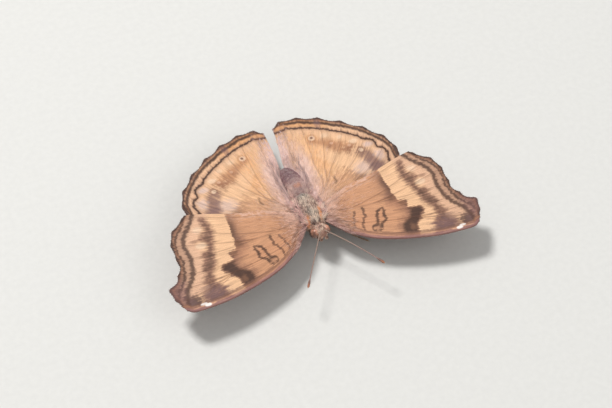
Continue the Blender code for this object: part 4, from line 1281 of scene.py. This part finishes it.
class BUTTERFLY_OT_coat(bpy.types.Operator):
    """Roots hair and scales in the skin"""

    bl_idname = "butterfly.coat"
    bl_label = "Coat"

    def execute(self, context):
        sizes, colours = context.scene.butterfly_sizes, context.scene.butterfly_colours
        finish = coat_material("hair", colours, hair=True)
        skin = bpy.data.objects["body_skin"].data
        # how many, length, width, from where to where along the body, rise in degrees, disorder and flecks
        for name, count, long_, wide, span, lift, stray, flecks in (
            ("coat_thorax", 10500, sizes.thorax_hair, 0.085, (-2.9, 4.2), (6, 25), 0.24, 0.9),
            ("coat_head", 4200, sizes.head_hair, 0.07, (-4.95, -2.0), (20, 65), 0.3, 1.0),
            ("coat_waist", 5200, sizes.thorax_hair, 0.07, (3.0, 6.8), (6, 26), 0.2, 0.4),
            ("coat_abdomen", 12000, sizes.abdomen_hair, 0.07, (5.2, 12.7), (4, 18), 0.16, 0.2),
        ):
            build_coat(
                name, skin, (len(name), count, count + 1), finish, count, between(*span), (0.0, 1.0, 0.0), stray,
                (long_ / MM, wide), flecks, lift=lift,
            )
        for side, sign in SIDES.items():
            build_coat(
                f"coat_flank_{side}", skin, (70 + sign, 72 + sign, 74 + sign), finish, 3000, over_roots(sign),
                (0.5 * sign, 0.8, 0.0), 0.35, (sizes.flank_hair / MM, 0.075), 1.0, beside=True,
                lift=(15, 44), curl=0.3,
            )
        return {"FINISHED"}


# Facets of an eye: how many, which is how many points a ball has after four subdivisions, half the distance between
# two of them on a ball of radius 1, and how far they sink into the eye's own shape
FACETS, FACET_REACH, FACET_SINK = 642, 0.075, 0.02


class BUTTERFLY_OT_eyes(bpy.types.Operator):
    """Builds the two compound eyes with their facets"""

    bl_idname = "butterfly.eyes"
    bl_label = "Eyes"

    def execute(self, context):
        sizes, colours = context.scene.butterfly_sizes, context.scene.butterfly_colours
        finish = eye_material(colours)
        for side, sign in SIDES.items():
            centre = np.array(HEAD["centre"]) + np.array(EYE["offset"]) * (sign, 1, 1)
            bpy.ops.object.select_all(action="DESELECT")
            bpy.ops.mesh.primitive_ico_sphere_add(subdivisions=6, radius=1.0)
            piece = context.object
            piece.name = piece.data.name = f"eye_facets_{side}"
            points = vertices_of(piece.data)
            near = np.full(len(points), 9.0)
            for middle in points[:FACETS]:  # the points of the fourth subdivision come first
                near = np.minimum(near, ((points - middle) ** 2).sum(1))
            dome = np.maximum(0.0, 1 - near / FACET_REACH**2)
            bulge = 1 - FACET_SINK + (sizes.facet / MM) * dome[:, None]
            piece.data.vertices.foreach_set("co", place(centre + points * EYE["half"] * bulge).ravel())
            bpy.ops.object.shade_smooth()
            finished(piece, "eye", f"eye_{side}", finish=[finish])
        return {"FINISHED"}


class BUTTERFLY_OT_feelers(bpy.types.Operator):
    """Builds the ringed feelers with their clubs"""

    bl_idname = "butterfly.feelers"
    bl_label = "Feelers"

    def execute(self, context):
        sizes, colours = context.scene.butterfly_sizes, context.scene.butterfly_colours
        finish = feeler_material(colours)
        share = np.linspace(0, 1, FEELER_RINGS * 4 + 1)
        swell = ease((share - 0.83) / 0.1)
        radii = (sizes.feeler * (1 - swell) + sizes.club * swell) / MM / 2
        waist = np.abs(np.sin(pi * FEELER_RINGS * share))
        radii = radii * (0.82 + 0.18 * waist) * np.where(share < 0.03, 1.5, 1.0)
        radii *= np.sqrt(np.clip((1.0 - share) / 0.03, 0, 1))
        radii[0] = 0.0
        for side, sign in SIDES.items():
            base = np.array((HEAD["centre"][0] + sign * FEELER_BASE[0], *FEELER_BASE[1:]))
            run = np.array(FEELER_TIPS[side]) - base
            points = base + run * share[:, None]
            points[:, 2] += FEELER_SAG * 4 * share * (1 - share)
            points[0] -= 0.25 * run / np.linalg.norm(run)
            piece = tube(f"feeler_{side}", points, radii, 14)
            finished(piece, "feeler", f"antenna_{side}", finish=[finish])
        return {"FINISHED"}


class BUTTERFLY_OT_mouth(bpy.types.Operator):
    """Builds the palps and the coiled tongue"""

    bl_idname = "butterfly.mouth"
    bl_label = "Mouth"

    def execute(self, context):
        colours = context.scene.butterfly_colours
        scaled = horn_material("palp_scales", colours.head, colours.cocoa, 0.7, 4000.0)
        hair = coat_material("palp_hair", colours, hair=True)
        for side, sign in SIDES.items():
            middle = HEAD["centre"][0]
            base, tip = (np.array((middle + sign * p[0], p[1], p[2])) for p in (PALP["base"], PALP["tip"]))
            run = tip - base
            share = np.linspace(-0.25, 1, 24)
            points = base + run * share[:, None] + np.array(PALP["bow"]) * (4 * share * (1 - share))[:, None]
            thick = np.sqrt(np.clip(1 - ((share - 0.35) / 0.65) ** 2, 0, 1)) * 0.9
            piece = tube(f"palp_{side}_dressed", points, PALP["radius"] * 0.8 * thick, 16)
            finished(piece, "coat", f"palp_{side}", finish=[scaled])
            build_coat(
                f"coat_palp_{side}", piece.data, (21 + sign, 31 + sign, 41 + sign), hair, 900, everywhere,
                run / np.linalg.norm(run), 0.25, (0.3, 0.055), 1.0, lift=(8, 30),
            )
        steps = 130
        angle = pi / 2 + 2 * pi * PROBOSCIS["turns"] * np.linspace(0, 1, steps)
        radius = np.linspace(PROBOSCIS["radius"], PROBOSCIS["inner"], steps)
        spiral = np.column_stack([0 * angle, radius * np.cos(angle), radius * np.sin(angle)])
        ringed = 1 + 0.08 * np.sin(np.arange(steps) * 2.0)
        thick = 0.5 * PROBOSCIS["thickness"] * np.linspace(1.0, 0.5, steps) * ringed
        points = np.vstack([[(0, 0.2, 1.4)], [(0, 0.1, 1.0)], spiral]) + PROBOSCIS["centre"]
        piece = tube("tongue", points, rounded(np.concatenate([[0.12, 0.12], thick])), 12)
        tongue = horn_material("tongue_horn", colours.tongue, colours.umber, 0.35, 9000.0)
        finished(piece, "leg", "proboscis", finish=[tongue])
        return {"FINISHED"}


LEG_WIDTHS = (0.36, 0.24, 0.145)  # half widths of a thigh, a shin and a foot
CLAW = ((-0.08, 0.0, 0.0), (0.12, 0.08, 0.0), (0.27, 0.12, 0.02), (0.34, 0.1, 0.1))  # ahead, aside and down


def leg_pieces(name, joints, seed):
    """The parts of one leg: thigh, shin, foot of five joints, spines and claws."""
    draw = np.random.default_rng(seed)
    hip, knee, ankle, landing, toe = (np.array(p, float) for p in joints)
    thigh, shin, sole = LEG_WIDTHS
    parts = []
    for start, end, widest, bulge in ((hip, knee, thigh, 0.35), (knee, ankle, shin, 0.5)):
        share = np.linspace(0, 1, 14)
        run = end - start
        points = start - 0.04 * run + run * 1.06 * share[:, None]
        shape = 0.78 + 0.22 * np.sin(pi * np.clip(share * (0.5 / bulge), 0, 1))
        radii = widest * shape * np.sqrt(np.clip(np.minimum(share, 1 - share) / 0.05, 0, 1))
        parts.append(tube(name, points, radii, 12))
    share = np.linspace(0, 1, 41)
    foot = line_through((ankle, landing, toe), 8)(share)
    joint = np.abs(np.sin(pi * 5 * share))
    parts.append(tube(name, foot, rounded(sole * (0.72 + 0.28 * joint**0.6)), 10))
    ahead = (toe - landing) / np.linalg.norm(toe - landing)
    beside = np.cross(ahead, (0, 0, 1))
    for way in (1, -1):
        hook = [toe + a * ahead + b * way * beside - (0, 0, c) for a, b, c in CLAW]
        parts.append(tube(name, line_through(hook)(np.linspace(0, 1, 8)), np.linspace(0.05, 0.0, 8), 6))
    for start, end, count, size, thick in ((knee, ankle, 16, 0.32, 0.028), (landing, toe, 18, 0.16, 0.02)):
        run = (end - start) / np.linalg.norm(end - start)
        for k in range(count):
            root = start + (end - start) * (0.12 + 0.86 * k / count)
            across = draw.normal(0, 1, 3)
            across -= across @ run * run
            across /= np.linalg.norm(across)
            if across[2] < -0.2:
                across[2] *= -0.5
            tip = root + (sole + size) * (0.6 * across + 0.7 * run)
            spine = [root, 0.5 * (root + tip) + 0.03 * across, tip]
            parts.append(tube(name, spine, [thick, thick * 0.8, 0.0], 5))
    return parts


def thorax_underside(x, y):
    """Height of the thorax's lower side."""
    centre, half = THORAX["centre"], THORAX["half"]
    return -half[2] * max(0.0, 1 - ((y - centre[1]) / half[1]) ** 2 - (x / half[0]) ** 2) ** 0.5


class BUTTERFLY_OT_legs(bpy.types.Operator):
    """Builds the four walking legs and the two small folded ones"""

    bl_idname = "butterfly.legs"
    bl_label = "Legs"

    def execute(self, context):
        colours = context.scene.butterfly_colours
        finish = horn_material("leg_scales", colours.leg, colours.cocoa, 0.6, 3500.0)
        hair = coat_material("leg_hair", colours, hair=True)
        for side, sign in SIDES.items():
            for number, (leg, (hip, knee, ankle, toe)) in enumerate(LEGS.items()):
                hip = (hip[0], hip[1], thorax_underside(hip[0], hip[1]) + 0.25)
                thigh = (hip[0] + 0.2, hip[1], hip[2] - 1.0)
                ankle = (ankle[0], ankle[1], FOOT_HEIGHT + 0.3)
                toe = (toe[0], toe[1], FOOT_HEIGHT)
                landing = tuple(np.array(ankle) * 0.86 + np.array(toe) * 0.14)[:2] + (FOOT_HEIGHT,)
                hip, *joints = (np.array(p) * (sign, 1, 1) for p in (hip, thigh, knee, ankle, landing, toe))
                parts = leg_pieces(f"{leg}_{side}_part", joints, 60 + number)
                run = np.linspace(0, 1, 9)
                points = hip + (joints[0] - hip) * (1.15 * run[:, None])
                parts.append(tube("hip", points, rounded(0.42 * (1 - 0.25 * run**2)), 12))
                piece = joined(f"{leg}_{side}_dressed", parts)
                finished(piece, "leg", f"{leg}_{side}", finish=[finish])
            share = np.linspace(0, 1, 24)
            points = line_through([(HEAD["centre"][0] * 0.5 + sign * x, y, z) for x, y, z in FORELEG])(share)
            piece = tube(f"foreleg_{side}_dressed", points, rounded(0.26 - 0.12 * share), 12)
            finished(piece, "leg", f"foreleg_{side}", finish=[finish])
            build_coat(
                f"coat_foreleg_{side}", piece.data, (71 + sign, 81 + sign, 91 + sign), hair, 700, everywhere,
                (0.0, -0.9, 0.2), 0.3, (0.4, 0.06), 0.5,
            )
        return {"FINISHED"}


# View of the photograph, from the thorax: turn, height and roll in degrees, distance, and pixels
VIEW = {"azimuth": -27.285, "elevation": 54.268, "roll": 4.732, "distance": 300.0, "pixels_per_mm": 5.292}
THORAX_PIXEL = (311.34, 216.77)
IMAGE = (612, 408)


class BUTTERFLY_OT_stage(bpy.types.Operator):
    """Adds the floor, the lights and the camera"""

    bl_idname = "butterfly.stage"
    bl_label = "Stage"

    def execute(self, context):
        colours = context.scene.butterfly_colours
        bpy.ops.object.select_all(action="DESELECT")
        bpy.ops.mesh.primitive_plane_add(size=6.0, location=(0, 0, 0))
        floor = context.object
        floor.name = "floor"
        material, tree, shader = new_material("matte_paper", 0.9, Specular_IOR_Level=0.2)
        spot = add_node(tree, "TexCoord").outputs["Object"]
        grain = add_node(tree, "TexNoise", {"Vector": spot, "Scale": 900.0, "Detail": 2.0}).outputs["Fac"]
        tone = add_node(tree, "MapRange", (grain, 0.3, 0.7, 0.98, 1.02)).outputs[0]
        colour = add_node(tree, "HueSaturation", {"Color": colours.floor, "Value": tone}).outputs[0]
        tree.links.new(colour, shader.inputs["Base Color"])
        floor.data.materials.append(material)

        middle = Vector(place((0, 0, 0)))
        for name, where, size, power in (
            ("key_light", (-0.25, 0.35, 0.85), 0.2, 7.2),
            ("fill_light", (0.5, -0.6, 0.6), 0.8, 2.2),
        ):
            bpy.ops.object.light_add(type="AREA", location=middle + Vector(where))
            light = context.object
            light.name = name
            light.data.size = size
            light.data.energy = power
            light.rotation_euler = Vector(where).to_track_quat("Z", "Y").to_euler()
        world = bpy.data.worlds.new("studio")
        world.use_nodes = True
        world.node_tree.nodes["Background"].inputs["Color"].default_value = (1, 1, 1, 1)
        world.node_tree.nodes["Background"].inputs["Strength"].default_value = 0.4
        context.scene.world = world
        context.scene.view_settings.view_transform = "Standard"

        azimuth, elevation, roll = (radians(VIEW[k]) for k in ("azimuth", "elevation", "roll"))
        back = Vector((sin(azimuth) * cos(elevation), -cos(azimuth) * cos(elevation), sin(elevation)))
        level = Vector((cos(azimuth), sin(azimuth), 0))
        right = cos(roll) * level + sin(roll) * back.cross(level)
        up = back.cross(right)
        aside = [(p - size / 2) / VIEW["pixels_per_mm"] for p, size in zip(THORAX_PIXEL, IMAGE)]
        bpy.ops.object.camera_add()
        camera = context.object
        camera.name = "camera"
        camera.data.sensor_width = 36.0
        camera.data.lens = VIEW["pixels_per_mm"] * VIEW["distance"] / IMAGE[0] * 36.0
        where = middle + (back * VIEW["distance"] - right * aside[0] + up * aside[1]) * MM
        turn = Matrix((right, up, back)).transposed().to_4x4()
        camera.matrix_world = Matrix.Translation(where) @ turn
        camera.data.clip_start, camera.data.clip_end = 0.01, 20.0
        context.scene.camera = camera
        return {"FINISHED"}


class BUTTERFLY_PT_panel(bpy.types.Panel):
    """Lists the pieces, the sizes and the colours"""

    bl_idname = "BUTTERFLY_PT_panel"
    bl_label = "Butterfly"
    bl_space_type = "VIEW_3D"
    bl_region_type = "UI"
    bl_category = "Butterfly"

    def draw(self, context):
        for operator in OPERATORS:
            self.layout.operator(operator.bl_idname)
        for group in (context.scene.butterfly_sizes, context.scene.butterfly_colours):
            for name in group.__annotations__:
                self.layout.prop(group, name)


OPERATORS = (
    BUTTERFLY_OT_wings,
    BUTTERFLY_OT_wing_hair,
    BUTTERFLY_OT_skin,
    BUTTERFLY_OT_coat,
    BUTTERFLY_OT_eyes,
    BUTTERFLY_OT_feelers,
    BUTTERFLY_OT_mouth,
    BUTTERFLY_OT_legs,
    BUTTERFLY_OT_stage,
)
CLASSES = (ButterflySizes, ButterflyColours, *OPERATORS, BUTTERFLY_PT_panel)


def register():
    for cls in CLASSES:
        bpy.utils.register_class(cls)
    bpy.types.Scene.butterfly_sizes = bpy.props.PointerProperty(type=ButterflySizes)
    bpy.types.Scene.butterfly_colours = bpy.props.PointerProperty(type=ButterflyColours)


def unregister():
    del bpy.types.Scene.butterfly_sizes, bpy.types.Scene.butterfly_colours
    for cls in reversed(CLASSES):
        bpy.utils.unregister_class(cls)


def main():
    register()
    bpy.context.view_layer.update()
    for step in (
        bpy.ops.butterfly.stage,
        bpy.ops.butterfly.wings,
        bpy.ops.butterfly.wing_hair,
        bpy.ops.butterfly.skin,
        bpy.ops.butterfly.coat,
        bpy.ops.butterfly.eyes,
        bpy.ops.butterfly.feelers,
        bpy.ops.butterfly.mouth,
        bpy.ops.butterfly.legs,
    ):
        step()


if __name__ == "__main__":
    main()
